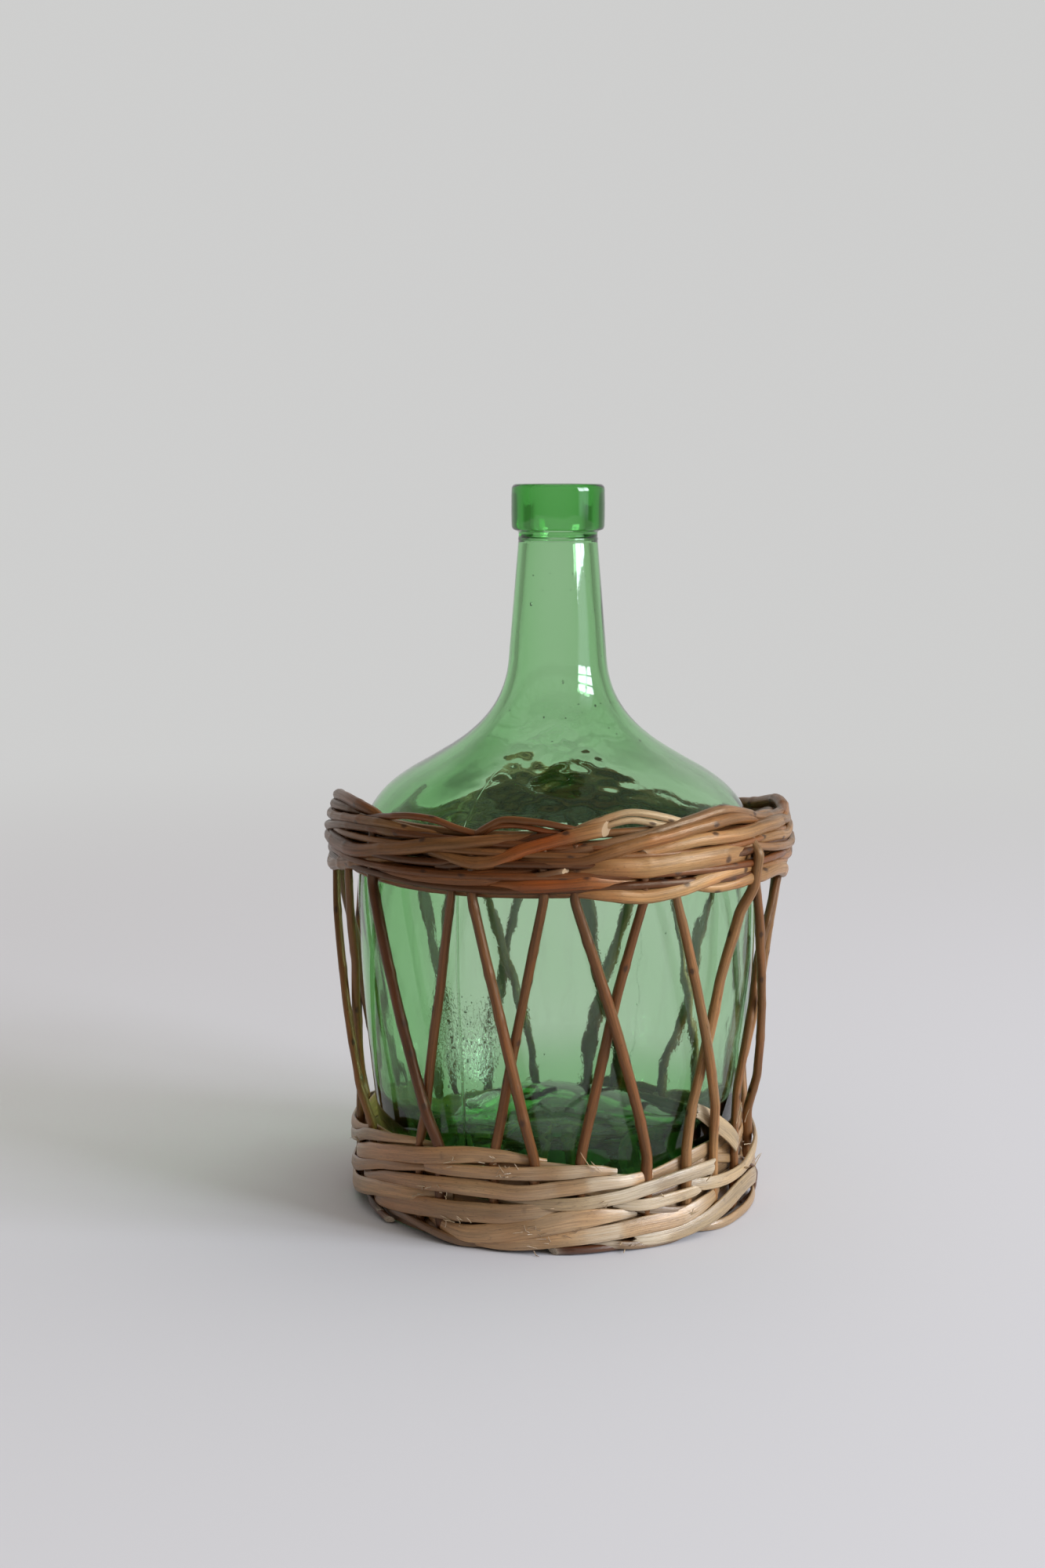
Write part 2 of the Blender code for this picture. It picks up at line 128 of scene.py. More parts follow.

# The two finishes of willow. Shine is the strength and the colour of its gloss. The bared colour
# is that of cut ends, and on split strips also of their painted highlight.
BARK = SimpleNamespace(
    name="brown_willow_finish", streaks=1.5, contrast=0.38, redness=0.5, roughness=0.32,
    shine=(0.60, (1.0, 0.78, 0.55, 1.0)), cracks=0.0, coat=0.0, bared_and_highlight=(0.42, 0.29, 0.17))
SPLIT_WOOD = SimpleNamespace(
    name="split_willow_finish", streaks=2.3, contrast=0.24, redness=0.15, roughness=0.33,
    shine=(0.90, (1.0, 0.94, 0.86, 1.0)), cracks=0.45, coat=0.22, bared_and_highlight=(0.62, 0.52, 0.38))
COAT_ROUGHNESS = 0.24
# Noises stretched along the grain: scale along it, scale across it, detail, roughness
STREAK_NOISE = (0.045, None, 6.0, 0.62)
BROAD_NOISE = (0.030, 0.55, 3.0, 0.55)
PATCH_NOISE = (0.045, 0.12, 4.0, 0.55)
SPECK_NOISE = (0.55, 1.7, 3.0, 0.55)
CRACK_NOISE = (0.025, 1.15, 2.0, 0.55)
REDDER = (1.18, 0.82, 0.62)
GREYER = (0.96, 1.03, 1.10)
SPECK_SHADE = 0.42
CRACK_SHADE = 0.4
CRACK_HALF_WIDTH = 0.012
GRAIN_DEPTH = 0.0004
GRAIN_STRENGTH = 0.55

# Kinds of rod end
TUCKED = "tucked"
CUT = "cut"
FRAYED = "frayed"
LAID_IN = (TUCKED, TUCKED)

# How round rods and split strips differ: sides of the section, powers that square it off, twist
# in degrees, wander of the width, unevenness, swelling and dark mark at a knot, and the painted
# light and shade round the basket
ROD = SimpleNamespace(
    sides=14, side_power=1.0, face_power=1.0, twist=3.0, width_wander=0.05, uneven=0.020,
    knot=0.07, mark=1.3, painted_light=ROD_PAINTED_LIGHT)
STRIP = SimpleNamespace(
    sides=22, side_power=0.55, face_power=0.50, twist=5.0, width_wander=0.10, uneven=0.012,
    knot=0.0, mark=0.5, painted_light=STRIP_PAINTED_LIGHT)
STEP_MM = 1.1
# Seeds of the random draws, to which each stake, rod or strip adds its number
GLASS_SEED = 7
STAKE_SEED = 100
RIM_SEED = 200
FOOT_SEED = 400
FLOOR_STICK_SEED = 500
FLOOR_STRIP_SEED = 600
INNER_ROD_SEED = 700
MIDDLE_ROD_SEED = 750
INNER_STRIP_SEED = 800
FIBRE_SEED = 900
TUFT_SEED = 950
# How far rods and strips stray, and the length over which they do
HEIGHT_STRAY_MM = (0.25, 14.0)
DEPTH_STRAY_MM = (0.15, 18.0)
RING_STRAY_MM = (0.2, 9.0)
INNER_STRIP_STRAY_MM = (0.5, 20.0)
FLOOR_STRIP_STRAY_MM = (0.2, 25.0)
STAKE_STRAY_MM = (0.22, 42.0)
# The section of a rod or strip, and how it changes along it
TWIST_WAVE_MM = 30.0
WIDTH_WAVE_MM = 22.0
DEPTH_WAVE_MM = 15.0
DEPTH_WANDER = 0.06
SECTION_WAVES = (2, 3, 5)
SECTION_WAVE_MM = 40.0
SHADE_WAVE_MM = 35.0
PAINTED_HIGHLIGHT_WAVE_MM = 11.0
TAPER_SHARE = 0.3
TIP_SHARE = 0.7
TIP_MM = 7.0
FIRST_KNOT_MM = (5.0, 20.0)
KNOT_APART_MM = (12.0, 34.0)
KNOT_HALF_MM = 2.2
MARK_HALF_MM = 1.7
MARK_HALF_TURN = 0.45
SLANT = (0.3, 1.1)
SLANT_REACH_MM = 3.5
JAG_MM = 4.5
JAG_REACH_MM = 4.0
CUT_SHADE = 0.55
CUT_REACH_MM = {CUT: 2.0, FRAYED: 6.0}
CROWN_MM = 0.28
RIDGES = 13
RIDGE_MM = 0.11

# Outline of the basket: height and radius of its outer surface, in millimetres
BASKET_OUTLINE_MM = (
    (0, 91.6), (15, 92.0), (33, 91.7), (44, 91.4), (63, 92.9), (99, 96.5), (135, 99.8),
    (149, 102.0), (156, 103.0), (164, 104.1), (176, 102.7), (190, 100.0),
)
BOTTLE_ROOM_MM = 90.3
# The basket is out of round: height, and how much further out its left and its right side lie
BULGE_MM = (
    (0, 2.4, 0.0), (50, 2.8, 0.0), (120, 2.5, 0.5), (150, 2.0, 2.0), (178, 1.7, 3.4),
    (200, 1.7, 3.4),
)
# Rods of the rim. Each row: the model's rod it stands for, widths along it in millimetres,
# colour (or colours along it), kinds of its two ends, and its route as (angle, height mm, depth
# below the outline mm). The second half of the rim repeats the first one, turned by half a circle.
RIM_RODS = (
    ("rim_rod_1", (3.0, 5.7, 6.0), TAN, (TUCKED, CUT),
     ((0, 155.5, 6), (6, 156, 3), (13, 155, 2), (21, 153.5, 2), (30, 155, 2), (39, 158.5, 2),
      (48, 160, 3), (57, 159, 4))),
    ("rim_rod_1", (2.0, 6.2, 3.2), (BROWN, ORANGE, TAN), LAID_IN,
     ((-27, 157.5, 7), (-15, 158.5, 4), (-6, 159, 2), (2, 160, 2), (8, 161, 2), (14, 160, 4),
      (22, 159, 7))),
    ("rim_rod_1", (3.5, 5.6, 4.5), TAN, LAID_IN,
     ((-144, 154.5, 5.5), (-137, 154, 3), (-126, 155, 1.5), (-110, 155.5, 1), (-97, 154, 1),
      (-83, 153, 1.5), (-72, 156.5, 2.5), (-59, 160.5, 3.5), (-51, 163, 4.5), (-41, 167, 7))),
    ("rim_rod_2", (6.0, 7.3, 4.5), REDDISH, LAID_IN,
     ((-64, 157.5, 8), (-46, 159.5, 4), (-35, 159.5, 3), (-21, 161, 3), (-11, 163.5, 5),
      (-3, 166, 8))),
    ("rim_rod_2", (6.6, 7.7, 5.5), TAN, LAID_IN,
     ((-1, 163.5, 7), (6, 165, 4), (12, 166.5, 2), (21, 165.5, 2), (30, 166.5, 2),
      (39, 167.5, 2), (49, 167, 3.5), (56, 165, 8), (64, 162.5, 9))),
    ("rim_rod_2", (2.6, 2.8, 2.4), GREYISH, (TUCKED, CUT),
     ((-16, 161, 6), (-7, 162.5, 3.5), (2, 165.5, 2.5))),
    ("rim_rod_3", (4.4, 5.8, 3.6), BROWN, LAID_IN,
     ((-118, 160.5, 7), (-103, 160.5, 2), (-95, 162, 1), (-84, 165.5, 1.5), (-73, 165.5, 2),
      (-57, 166, 2), (-41, 170.5, 2), (-30, 174, 2), (-17, 176.5, 3), (-8, 178, 5.5),
      (-2, 179, 8))),
    ("rim_rod_3", (3.5, 3.6, 3.4), GREYISH, LAID_IN,
     ((-135, 170.5, 7), (-125, 169.5, 3.5), (-114, 166, 1), (-105, 165.5, 1), (-96, 167, 0.5),
      (-85, 169.5, 1), (-75, 172.5, 2), (-64, 175, 3), (-55, 176, 3.5), (-42, 176, 4),
      (-34, 175.5, 7))),
    ("rim_rod_3", (4.6, 5.0, 4.5), TAN, (CUT, TUCKED),
     ((20, 171.5, 3.5), (25, 172.5, 3), (36, 175, 2), (49, 175, 2), (62, 175.5, 2),
      (75, 174.5, 3), (86, 172.5, 4), (96, 170, 7))),
    ("border_rod_1", (4.6, 5.0, 6.0), (BROWN, BROWN, BROWN, BROWN, ORANGE, ORANGE, TAN, TAN),
     (TUCKED, CUT),
     ((-38, 171, 8), (-30, 170, 4), (-21, 167.5, 2), (-15, 168.5, 2), (-7, 174, 2),
      (2, 178.5, 2), (12, 182, 3))),
    ("border_rod_1", (4.2, 4.2, 4.2), DARK, LAID_IN,
     ((-35, 169, 8), (-24, 171, 5), (-13, 174, 5), (-5, 178, 5.5), (2, 180.5, 7.5))),
    ("border_rod_2", (4.4, 5.0, 4.0), BROWN, LAID_IN,
     ((-12, 169, 6), (-2, 168.5, 3), (6, 169, 2.5), (11, 171.5, 2), (19, 175.5, 2),
      (30, 178.5, 2), (40, 181, 2), (48, 181.5, 3), (56, 180, 5), (66, 176, 8))),
    ("border_rod_2", (2.6, 2.6, 2.6), REDDISH, LAID_IN,
     ((-62, 178, 8), (-49, 182, 5), (-40, 184, 4), (-32, 183.5, 4), (-26, 181, 5),
      (-18, 177.5, 8))),
    ("border_rod_3", (4.0, 4.2, 2.6), GREYISH, LAID_IN,
     ((-9, 170, 7), (1, 172.5, 4), (14, 176, 4), (26, 180, 4), (35, 183, 4), (45, 185.5, 4),
      (54, 183, 5), (63, 179, 6.5), (78, 176.5, 5), (90, 176, 3), (106, 176, 4),
      (118, 175, 7))),
    ("border_rod_3", (2.6, 2.6, 2.6), DARK, LAID_IN,
     ((-74, 170, 6), (-58, 170.5, 5), (-48, 172.5, 5), (-36, 176, 7.5))),
    ("border_rod_4", (3.8, 3.7, 3.4), TAN, LAID_IN,
     ((-129, 172.5, 7), (-119, 170.5, 3), (-105, 170.5, 1.5), (-95, 173, 1), (-80, 175.5, 2),
      (-64, 177.5, 3), (-48, 179, 3.5), (-37, 177.5, 5), (-30, 176.5, 7))),
    ("border_rod_4", (2.6, 2.6, 2.2), (REDDISH, BROWN, BROWN), LAID_IN,
     ((-23, 176, 8), (-17, 182.5, 5), (-13, 185.5, 4), (-6, 185, 4), (2, 182.5, 5),
      (8, 180.5, 7))),
    ("border_rod_4", (2.2, 2.2, 2.0), REDDISH, LAID_IN,
     ((-21, 176, 9), (-16, 182, 6), (-10, 183, 5.5), (-2, 180.5, 6), (4, 179.5, 8))),
    ("border_rod_4", (3.4, 3.8, 3.4), GREYISH, LAID_IN,
     ((-126, 176, 7), (-112, 176, 4), (-98, 176.8, 2.2), (-84, 179, 2.2), (-72, 180.5, 4),
      (-60, 180, 8))),
    ("rim_rod_2", (3.6, 4.2, 3.6), BROWN, LAID_IN,
     ((-131, 158.5, 7), (-118, 158, 3), (-100, 158, 2), (-86, 159.5, 2.5), (-74, 161, 4),
      (-63, 162, 8))),
    ("border_rod_5", (4.4, 4.8, 4.2), BROWN, LAID_IN,
     ((-110, 171, 7), (-99, 178, 3), (-87, 182.5, 3), (-74, 184, 4.5), (-62, 183, 5.5),
      (-53, 180, 8))),
    ("border_rod_5", (2.4, 2.7, 2.2), PALE, LAID_IN,
     ((2, 179, 8), (8, 184, 5), (14, 187, 4), (18, 188, 4), (23, 187, 4), (30, 184, 5),
      (37, 181, 7))),
    ("border_rod_5", (2.7, 2.8, 2.4), PALE, LAID_IN,
     ((8, 180, 8), (14, 184, 5.5), (19, 185, 5), (26, 182.5, 5.5), (35, 180, 8))),
)
# How much lower the rim runs at the back than its copy of the front would: angle, fall in mm
RIM_FALL_MM = (
    (66, 0.0), (90, 4.0), (116, 12.0), (138, 12.0), (168, 0.0), (180, -2.0), (196, -1.0),
    (211, 7.0), (223, 5.0), (243, 11.0), (256, 8.0), (280, 0.0),
)

# Rods behind them, on the inner side of the stakes: the model's rod, height mm, diameter mm,
# waves, start angle, colour
INNER_RODS = (
    ("rim_rod_1", 155.0, 4.0, 3, 200, BROWN),
    ("rim_rod_1", 159.3, 4.0, 4, 140, REDDISH),
    ("rim_rod_2", 163.4, 4.2, 3, 95, DARK),
    ("rim_rod_2", 167.4, 3.8, 5, 250, BROWN),
    ("rim_rod_3", 171.4, 4.0, 3, 20, REDDISH),
    ("border_rod_1", 175.2, 4.2, 4, 310, BROWN),
    ("border_rod_5", 179.2, 3.8, 3, 165, TAN),
)
# Rods between the ones that show, in the same terms but by their depth below the outline
MIDDLE_RODS = (
    ("rim_rod_1", 157.6, 3.4, 4, 60, DARK, 2.9),
    ("rim_rod_2", 162.3, 3.4, 3, 230, REDDISH, 2.9),
    ("rim_rod_3", 167.0, 3.4, 5, 330, DARK, 2.9),
    ("border_rod_2", 171.4, 3.2, 3, 115, BROWN, 3.2),
    ("border_rod_3", 175.6, 3.2, 4, 190, REDDISH, 4.0),
)
RIM_ROD_SCALE = 1.12
RIM_ROD_DEPTH_MM = 5.2
INNER_WAVE_MM = 0.9
INNER_LAP = 9.0
LAP_RISE_MM = 1.2
BACK_FOOT_FALL = 0.40
BACK_LIMITS = (80.0, 50.0)
BEYOND_LIMITS = (95.0, 115.0)
RIM_LIMITS_MM = (80.0, 120.0)
RING_GAP_MM = 0.25
# Below this height the weave is the foot's, and may lie under the bottle
FOOT_TOP_MM = 60.0
LOWEST_MM = 4.0
# How a repeated row differs: range of its scale, and shifts in degrees and millimetres
BACK_SCALE = (0.92, 1.06)
BACK_SHIFT = (2.0, 0.8, 0.4)

# Strips of the foot, in the same terms. A row that ends in "once" isn't repeated.
FOOT_STRIPS = (
    ("side_strip_5", (5.4, 5.0, 3.0), SPLIT_PALE, LAID_IN,
     ((-141, 23.5, 4), (-130, 22, 1.2), (-116, 21.5, 0.5), (-104, 24, 0.5), (-95, 26.5, 0.5),
      (-85, 27.5, 0.8), (-75, 31, 1), (-65, 36.5, 1), (-52, 40.5, 1), (-43, 42, 2.5),
      (-37, 40.5, 7))),
    ("side_strip_5", (5.2, 5.6, 4.8), SPLIT, (FRAYED, TUCKED),
     ((-124, 50, 2), (-121, 46, 0.5), (-118, 42, 0), (-112, 36.5, 0), (-105, 32.5, 0),
      (-95, 31, 0.5), (-86, 32, 1), (-76, 33, 4), (-66, 37, 8)), "once"),
    ("side_strip_5", (6.6, 7.2, 6.0), SPLIT_PALE, (FRAYED, TUCKED),
     ((43.5, 55, 6.0), (48, 51.5, 6.0), (53, 46, 4.2), (58, 39.5, 2.0), (62, 34, 2.0),
      (66, 29, 5)), "once"),
    ("side_strip_4", (5.0, 6.8, 4.0), SPLIT, LAID_IN,
     ((-86, 21, 6), (-74, 25, 1.5), (-57, 32, 1), (-42, 36, 1), (-26, 40.5, 1), (-15, 41.5, 2),
      (-8, 39.5, 5), (-3, 38, 8))),
    ("side_strip_4", (4.5, 5.4, 3.0), SPLIT, LAID_IN,
     ((-131, 31, 8), (-126, 30.5, 6.5), (-115, 25, 6), (-109, 21.5, 5), (-100, 16.5, 2),
      (-90, 13.5, 1), (-82, 15.5, 0.8), (-72, 19.5, 1), (-57, 26.5, 1), (-45, 30, 1.5),
      (-34, 32, 5))),
    ("side_strip_4", (4.5, 6.0, 4.0), SPLIT, LAID_IN,
     ((-44, 31, 5), (-34, 32.5, 2), (-21, 34, 1), (-6, 35, 1), (2, 36, 1), (9, 36, 1.5),
      (17, 34, 5))),
    ("side_strip_3", (4.0, 6.6, 5.0), SPLIT, LAID_IN,
     ((-78, 12, 6), (-66, 17, 2.5), (-53, 22, 1.8), (-42, 24.5, 1.5), (-24, 27, 1),
      (-10, 26.5, 1), (2, 29, 1), (11, 30.5, 1), (18, 30.5, 1.5), (28, 30.5, 5))),
    ("side_strip_3", (3.0, 5.4, 6.0), SPLIT_PALE, (TUCKED, FRAYED),
     ((-18, 22, 6), (-9, 22, 2.5), (4, 22, 1), (17, 24, 1), (27, 27, 1), (37, 29, 1),
      (50, 29, 1))),
    ("side_strip_3", (4.6, 5.2, 5.0), SPLIT_PALE, (TUCKED, FRAYED),
     ((16, 20, 5), (24, 19.5, 1.5), (33, 20.5, 1), (43, 21.5, 0.8))),
    ("side_strip_2", (6.0, 9.0, 5.0), SPLIT, LAID_IN,
     ((-68, 8.5, 6), (-58, 10.5, 2), (-49, 12.5, 1), (-34, 15, 1), (-19, 16.5, 1),
      (-6, 18.5, 1.5), (5, 19.5, 5))),
    ("side_strip_2", (3.4, 3.8, 3.0), SPLIT_DARK, LAID_IN,
     ((20, 18, 6), (28, 16, 2.5), (37, 13.5, 2), (45, 13.5, 5))),
    ("side_strip_1", (4.0, 8.4, 4.0), SPLIT, LAID_IN,
     ((-39, 9, 6), (-29, 7, 1.5), (-22, 7, 1), (-10, 10.5, 1), (2, 14.5, 1), (12, 16, 1.2),
      (23, 15, 5))),
    ("side_strip_1", (4.0, 7.2, 5.0), SPLIT, LAID_IN,
     ((-29, 3.2, 4), (-17, 4.2, 1.5), (-2, 6.5, 1), (11, 8.5, 1), (24, 10.5, 1), (37, 11, 1),
      (45, 14, 1.3), (55, 16, 5.5))),
    ("side_strip_1", (5.0, 7.3, 5.6), SPLIT_PALE, (FRAYED, TUCKED),
     ((20, 4.6, 2.5), (26, 4.2, 1), (36, 5, 0.3), (49, 8.5, 0), (61, 13.5, 0), (69, 14.5, 0),
      (78, 12, 0.5), (88, 8.5, 1), (98, 7.5, 1), (112, 12, 1), (128, 17, 1), (138, 19, 1.5),
      (150, 21, 6))),
    ("foot_hoop", (2.8, 3.2, 3.0), SPLIT_DARK, LAID_IN,
     ((6, 5, 5), (17, 3, 1.2), (25, 2, 1.2), (34, 2, 1.6), (44, 3, 6))),
    # Painted shade in part: this rod's dark tone is its own and also stands for the shade at the
    # foot's bottom
    ("foot_hoop", (3.6, 3.6, 3.6), DARK, (CUT, TUCKED),
     ((-1, 1.9, 0.6), (8, 1.9, 0.6), (17, 1.9, 2), (26, 2.0, 6))),
    ("foot_hoop", (2.8, 3.4, 2.6), SPLIT_DARK, LAID_IN,
     ((-60, 4.5, 6), (-46, 7, 2), (-36, 4.5, 1), (-27, 2.4, 1), (-18, 2.2, 4))),
    ("foot_hoop", (4.0, 4.2, 4.0), SPLIT, LAID_IN,
     ((42, 3, 6), (51, 2.3, 0.5), (60, 2.3, 0), (70, 2.5, 0), (82, 3, 1), (96, 4, 5))),
    ("foot_hoop", (2.2, 2.3, 2.2), DARK, LAID_IN,
     ((72, 22, 4), (79, 14, 0.3), (84, 7, 0), (80, 3, 0.8), (72, 2, 4))),
    ("foot_hoop", (3.2, 3.4, 3.4), DARK, (TUCKED, CUT),
     ((-74, 12, 5), (-66, 8, 2), (-58, 3.5, 1.5))),
    ("foot_hoop", (3.0, 3.2, 3.2), REDDISH, (TUCKED, CUT),
     ((-72, 7, 5), (-64, 4.5, 2), (-54, 2, 1.5))),
)
# Strips behind them, between the stakes and the glass: the model's strip, height mm, width mm,
# start angle, colour
INNER_STRIPS = (
    ("foot_hoop", 3.6, 6.4, 210, SPLIT_DARK),
    ("side_strip_1", 10.5, 6.8, 130, SPLIT_DARK),
    ("side_strip_2", 17.2, 6.6, 260, SPLIT),
    ("side_strip_3", 23.8, 6.6, 170, SPLIT_DARK),
    ("side_strip_4", 30.2, 6.4, 305, SPLIT),
    ("side_strip_5", 36.2, 6.0, 110, SPLIT),
)
INNER_STRIP_RADIUS_MM = 83.7
# The weave of the foot is lower at one place in front
DIP_ANGLE = 24.0
DIP_SHARE = 0.23
DIP_HALF_WIDTH = 17.0
STRIP_THICKNESS_MM = 1.5
STRIP_TILT = -5.0
INNER_STRIP_WAVES = 6
INNER_STRIP_WAVE_MM = 0.5
INNER_STRIP_RISE_MM = 0.2

# Loose fibres on the foot: angle, height mm, length mm, lean from upright
FIBRES = (
    (-31, 8, 4.5, 30), (-29, 11, 4.5, -60), (-5, 3, 5, -70), (-6, 2, 4, 150), (9, 38, 9, -35),
    (12, 36, 8, -48), (-40, 20, 6, 80), (-42, 18, 7, 65), (-16, 34, 4, 20), (-14, 35, 5, -30),
    (-12, 33, 4, 60), (2, 9, 4, 100), (5, 10, 4, 40), (62, 47, 8, -30), (60, 44, 9, -10),
    (66, 42, 7, -20), (78, 16, 8, 60), (80, 18, 6, 80), (30, 22, 4, -50), (45, 24, 5, 30),
)
FIBRE_DIAMETER_MM = 0.44
# Tufts of short fibres: angle, height mm, how many
FIBRE_TUFTS = (
    (-25.5, 12, 6), (-5.8, 10, 9), (-13, 35, 8), (-28.7, 37, 4), (-37.5, 22.6, 3), (-31.3, 22, 4),
    (-3, 5.6, 3), (-17, 39, 5), (13, 20.5, 3), (1.5, 22, 2), (19, 4, 5), (65, 33, 3), (65, 22, 3),
    (-70, 30, 3), (38, 12, 3),
)
FIBRE_LENGTH_MM = (1.2, 3.6)
FIBRE_LEAN = (-110.0, 110.0)
FIBRE_SPREAD = (1.3, 1.5)
FIBRE_BOW_MM = (0.8, 2.4)
FIBRE_CURL_MM = 0.6
FIBRE_SWAY_MM = (-1.2, 1.2)
FIBRE_ROOT_MM = 0.8
FIBRE_LOWEST_MM = 0.4
FIBRE_STEPS = 12

# Stakes
LEFT_STAKES_MM = (3.7, 4.8, 4.6, 4.6, 4.2, 4.0, 4.3, 3.9, 4.5, 4.1, 4.4, 4.2)
RIGHT_STAKES_MM = (3.9, 3.9, 4.0, 4.1, 4.3, 4.7, 4.0, 4.4, 3.8, 4.2, 4.0, 4.3)
LEFT_STAKE_TONES = (BROWN, DARK, BROWN, BROWN, TAN, BROWN, TAN, BROWN, TAN, GREYISH, TAN, BROWN)
RIGHT_STAKE_TONES = (
    GREYISH, BROWN, BROWN, BROWN, BROWN, TAN, BROWN, GREYISH, TAN, BROWN, TAN, REDDISH,
)
BACK_STAKE_BREADTH = 1.3
STAKE_BEND_MM = 6.0
STAKE_TOP_MM = 176.0
STAKE_CLEAR_MM = 9.0
# One stake passes in front of the lower rods of the rim: its node, and heights between which
OUTER_STAKE = "right_leaning_stake_06"
OUTER_STAKE_FROM_MM = (139.0, 152.0)
OUTER_STAKE_TO_MM = (173.0, 165.0)
STAKE_STEP_MM = 6.0
STAKE_FREE_MM = ((40.0, 55.0), (150.0, 135.0))
STAKE_TURNS = (30.0, 60.0)
STAKE_RISE_MM = 0.1
STAKE_BULGES_MM = (60.0, 85.0)
BACK_STAKES_FROM = 95.0

# Floor of the basket
FLOOR_STICK_MM = (3.3, 3.4, 3.3)
FLOOR_STRIP_MM = 1.3
FLOOR_STRIP_SHARE = 0.93
FLOOR_STICK_ROWS = 9
FLOOR_STICK_NEAREST = 8
FLOOR_STRIP_NEAR = 3.0

# Glass
SEAMS = (-27.8, 152.2)
SEAM_HEIGHT_MM = 0.24
SEAM_HALF_WIDTH = 0.28
GLASS_SIDES = 240
GLASS_STEP_MM = 1.1
MOUTH_EDGE_MM = 0.9
MOUTH_EDGE_SHARE = 0.29
CORNER_LIMIT = 55.0
INNER_WAVES_MM = 0.14
OUTER_WAVES_MM = 0.04
SHOULDER_WAVES_MM = 0.22
SHOULDER_JAGS_MM = 0.06
BODY_THINNING_MM = 1.25
BOTTOM_THICKENING_MM = 2.8
LEFT_THICKENING = 1.7
ABSORPTION_DENSITY = 126.0
ABSORPTION_COLOUR = (0.07, 0.69, 0.03)
SHADOW_TINT = (0.93, 0.83, 0.94)
WHITE = (1.0, 1.0, 1.0)
GLASS_IOR = 1.5
SPECKS = (
    (6.7, 219.5), (-3.5, 210.4), (-52.2, 210.8), (41.0, 214.7), (60.7, 224.6), (77.8, 224.4),
    (68.9, 214.4), (69.5, 265.1), (63.1, 257.0), (65.6, 244.9), (-76.9, 255.2), (-75.5, 246.2),
    (-71.3, 225.0), (20.3, 225.1), (45.3, 224.8), (-36.6, 280.5),
)
SPECK_RADIUS_MM = 0.42
BUBBLES = 110
SEAM_BUBBLES = 160
# Its waves: how many, range of turns round the bottle, range of lengths in millimetres
LONG_RIPPLES = (36, (2, 15), (35.0, 170.0))
FINE_RIPPLES = (30, (20, 70), (12.0, 60.0))
OUTER_RIPPLES = (30, (2, 30), (30.0, 120.0))
SHOULDER_RIPPLES = (24, (3, 15), (14.0, 40.0))
JAG_RIPPLES = (40, (6, 40), (4.0, 10.0))
FINE_SHARE = 0.2
BACK_WAVES = 0.35
SHOULDER_CALM = 0.85
# Limits of where they and the changes of the wall are, by height or radius in millimetres
THIN_MM = ((28.0, 53.0), (222.0, 182.0))
SHOULDER_MM = ((165.0, 179.0), (226.0, 212.0))
WAVES_BY_HEIGHT_MM = (295.0, 255.0)
WAVES_BY_RADIUS_MM = ((0.0, 25.0), (25.0, 75.0))
ABOVE_FOOT_MM = (60.0, 100.0)
CALM_MM = (165.0, 185.0)
BOTTOM_MM = (55.0, 30.0)
SEAM_MM = ((22.0, 32.0), (205.0, 155.0))
# Limits by how far a place is to the back, to the left, and to a side
AT_BACK = (0.0, 0.5)
AT_LEFT = (0.45, 0.85)
IN_MIDDLE = (0.75, 0.40)
# Steps across a seam and how many of its half widths they reach, and where it ends
SEAM_STEPS = 17
SEAM_REACH = 2.2
SEAM_INNERMOST_MM = 15.0
# The specks and bubbles in the wall. Their size is the least, how it spreads, and the most.
SPECK_DEPTH_MM = 1.2
SPECK_STRETCH = 0.6
BUBBLE_DEPTH_MM = (1.2, 2.6)
BUBBLE_STRETCH = (1.0, 1.9)
BUBBLE_SIZE_MM = (0.12, 0.10, 0.55)
BUBBLE_HEIGHTS_MM = (35.0, 300.0)
BUBBLE_INNERMOST_MM = 16.0
SEAM_BUBBLE_HEIGHTS_MM = (48.0, 110.0)
SEAM_BUBBLE_SPREAD = 3.0
BUBBLE_RINGS = 7
BUBBLE_SIDES = 10

# Faint grain in the glass, stronger in one patch: middle, reach, grain and depth, in metres
ROUGH_SPOT = (-0.0410, -0.0790, 0.092)
ROUGH_REACH = 0.026
ROUGH_SCALE = 650.0
ROUGH_DEPTH = 0.00007
ROUGH_ELSEWHERE = 0.05
ROUGH_STRENGTH = 0.8


def mix(first, second, share):
    return first + (second - first) * share


def smooth(share):
    share = np.clip(share, 0.0, 1.0)
    return share * share * (3.0 - 2.0 * share)


def between(places, limits):
    """0 to 1 over the places from the first limit to the second."""
    return smooth((places - limits[0]) / (limits[1] - limits[0]))


def bell(distance, reach):
    return np.exp(-(distance / reach) ** 2)


def columns_between(places, stations, table):
    """Rows of a table of columns, interpolated at the places."""
    return np.stack([np.interp(places, stations, column) for column in table.T], axis=1)


def eased_between(places, table):
    """Values between the rows of a table of places and values, level at each row."""
    stations, values = (np.array(column) for column in zip(*table))
    after = np.clip(np.searchsorted(stations, places), 1, len(stations) - 1)
    start, end = stations[after - 1], stations[after]
    return mix(values[after - 1], values[after], smooth((places - start) / (end - start)))


def around(radius, degrees, height):
    """Points at angles round the basket's axis, one row each."""
    turn = np.radians(degrees)
    return np.stack(np.broadcast_arrays(
        radius * np.sin(turn), -radius * np.cos(turn), height), axis=-1)


def turn_of(points):
    """Angles of the points round the basket."""
    return np.degrees(np.arctan2(points[..., 0], -points[..., 1]))


def reach_of(points):
    return np.hypot(points[..., 0], points[..., 1])


def apart(first, second):
    """The turn from the second angle to the first, between -180 and 180 degrees."""
    return (first - second + 180.0) % 360.0 - 180.0


def unit(rows):
    return rows / np.linalg.norm(rows, axis=-1, keepdims=True)


def outline(height_mm):
    heights, radii = zip(*BASKET_OUTLINE_MM)
    return np.interp(height_mm, heights, radii)


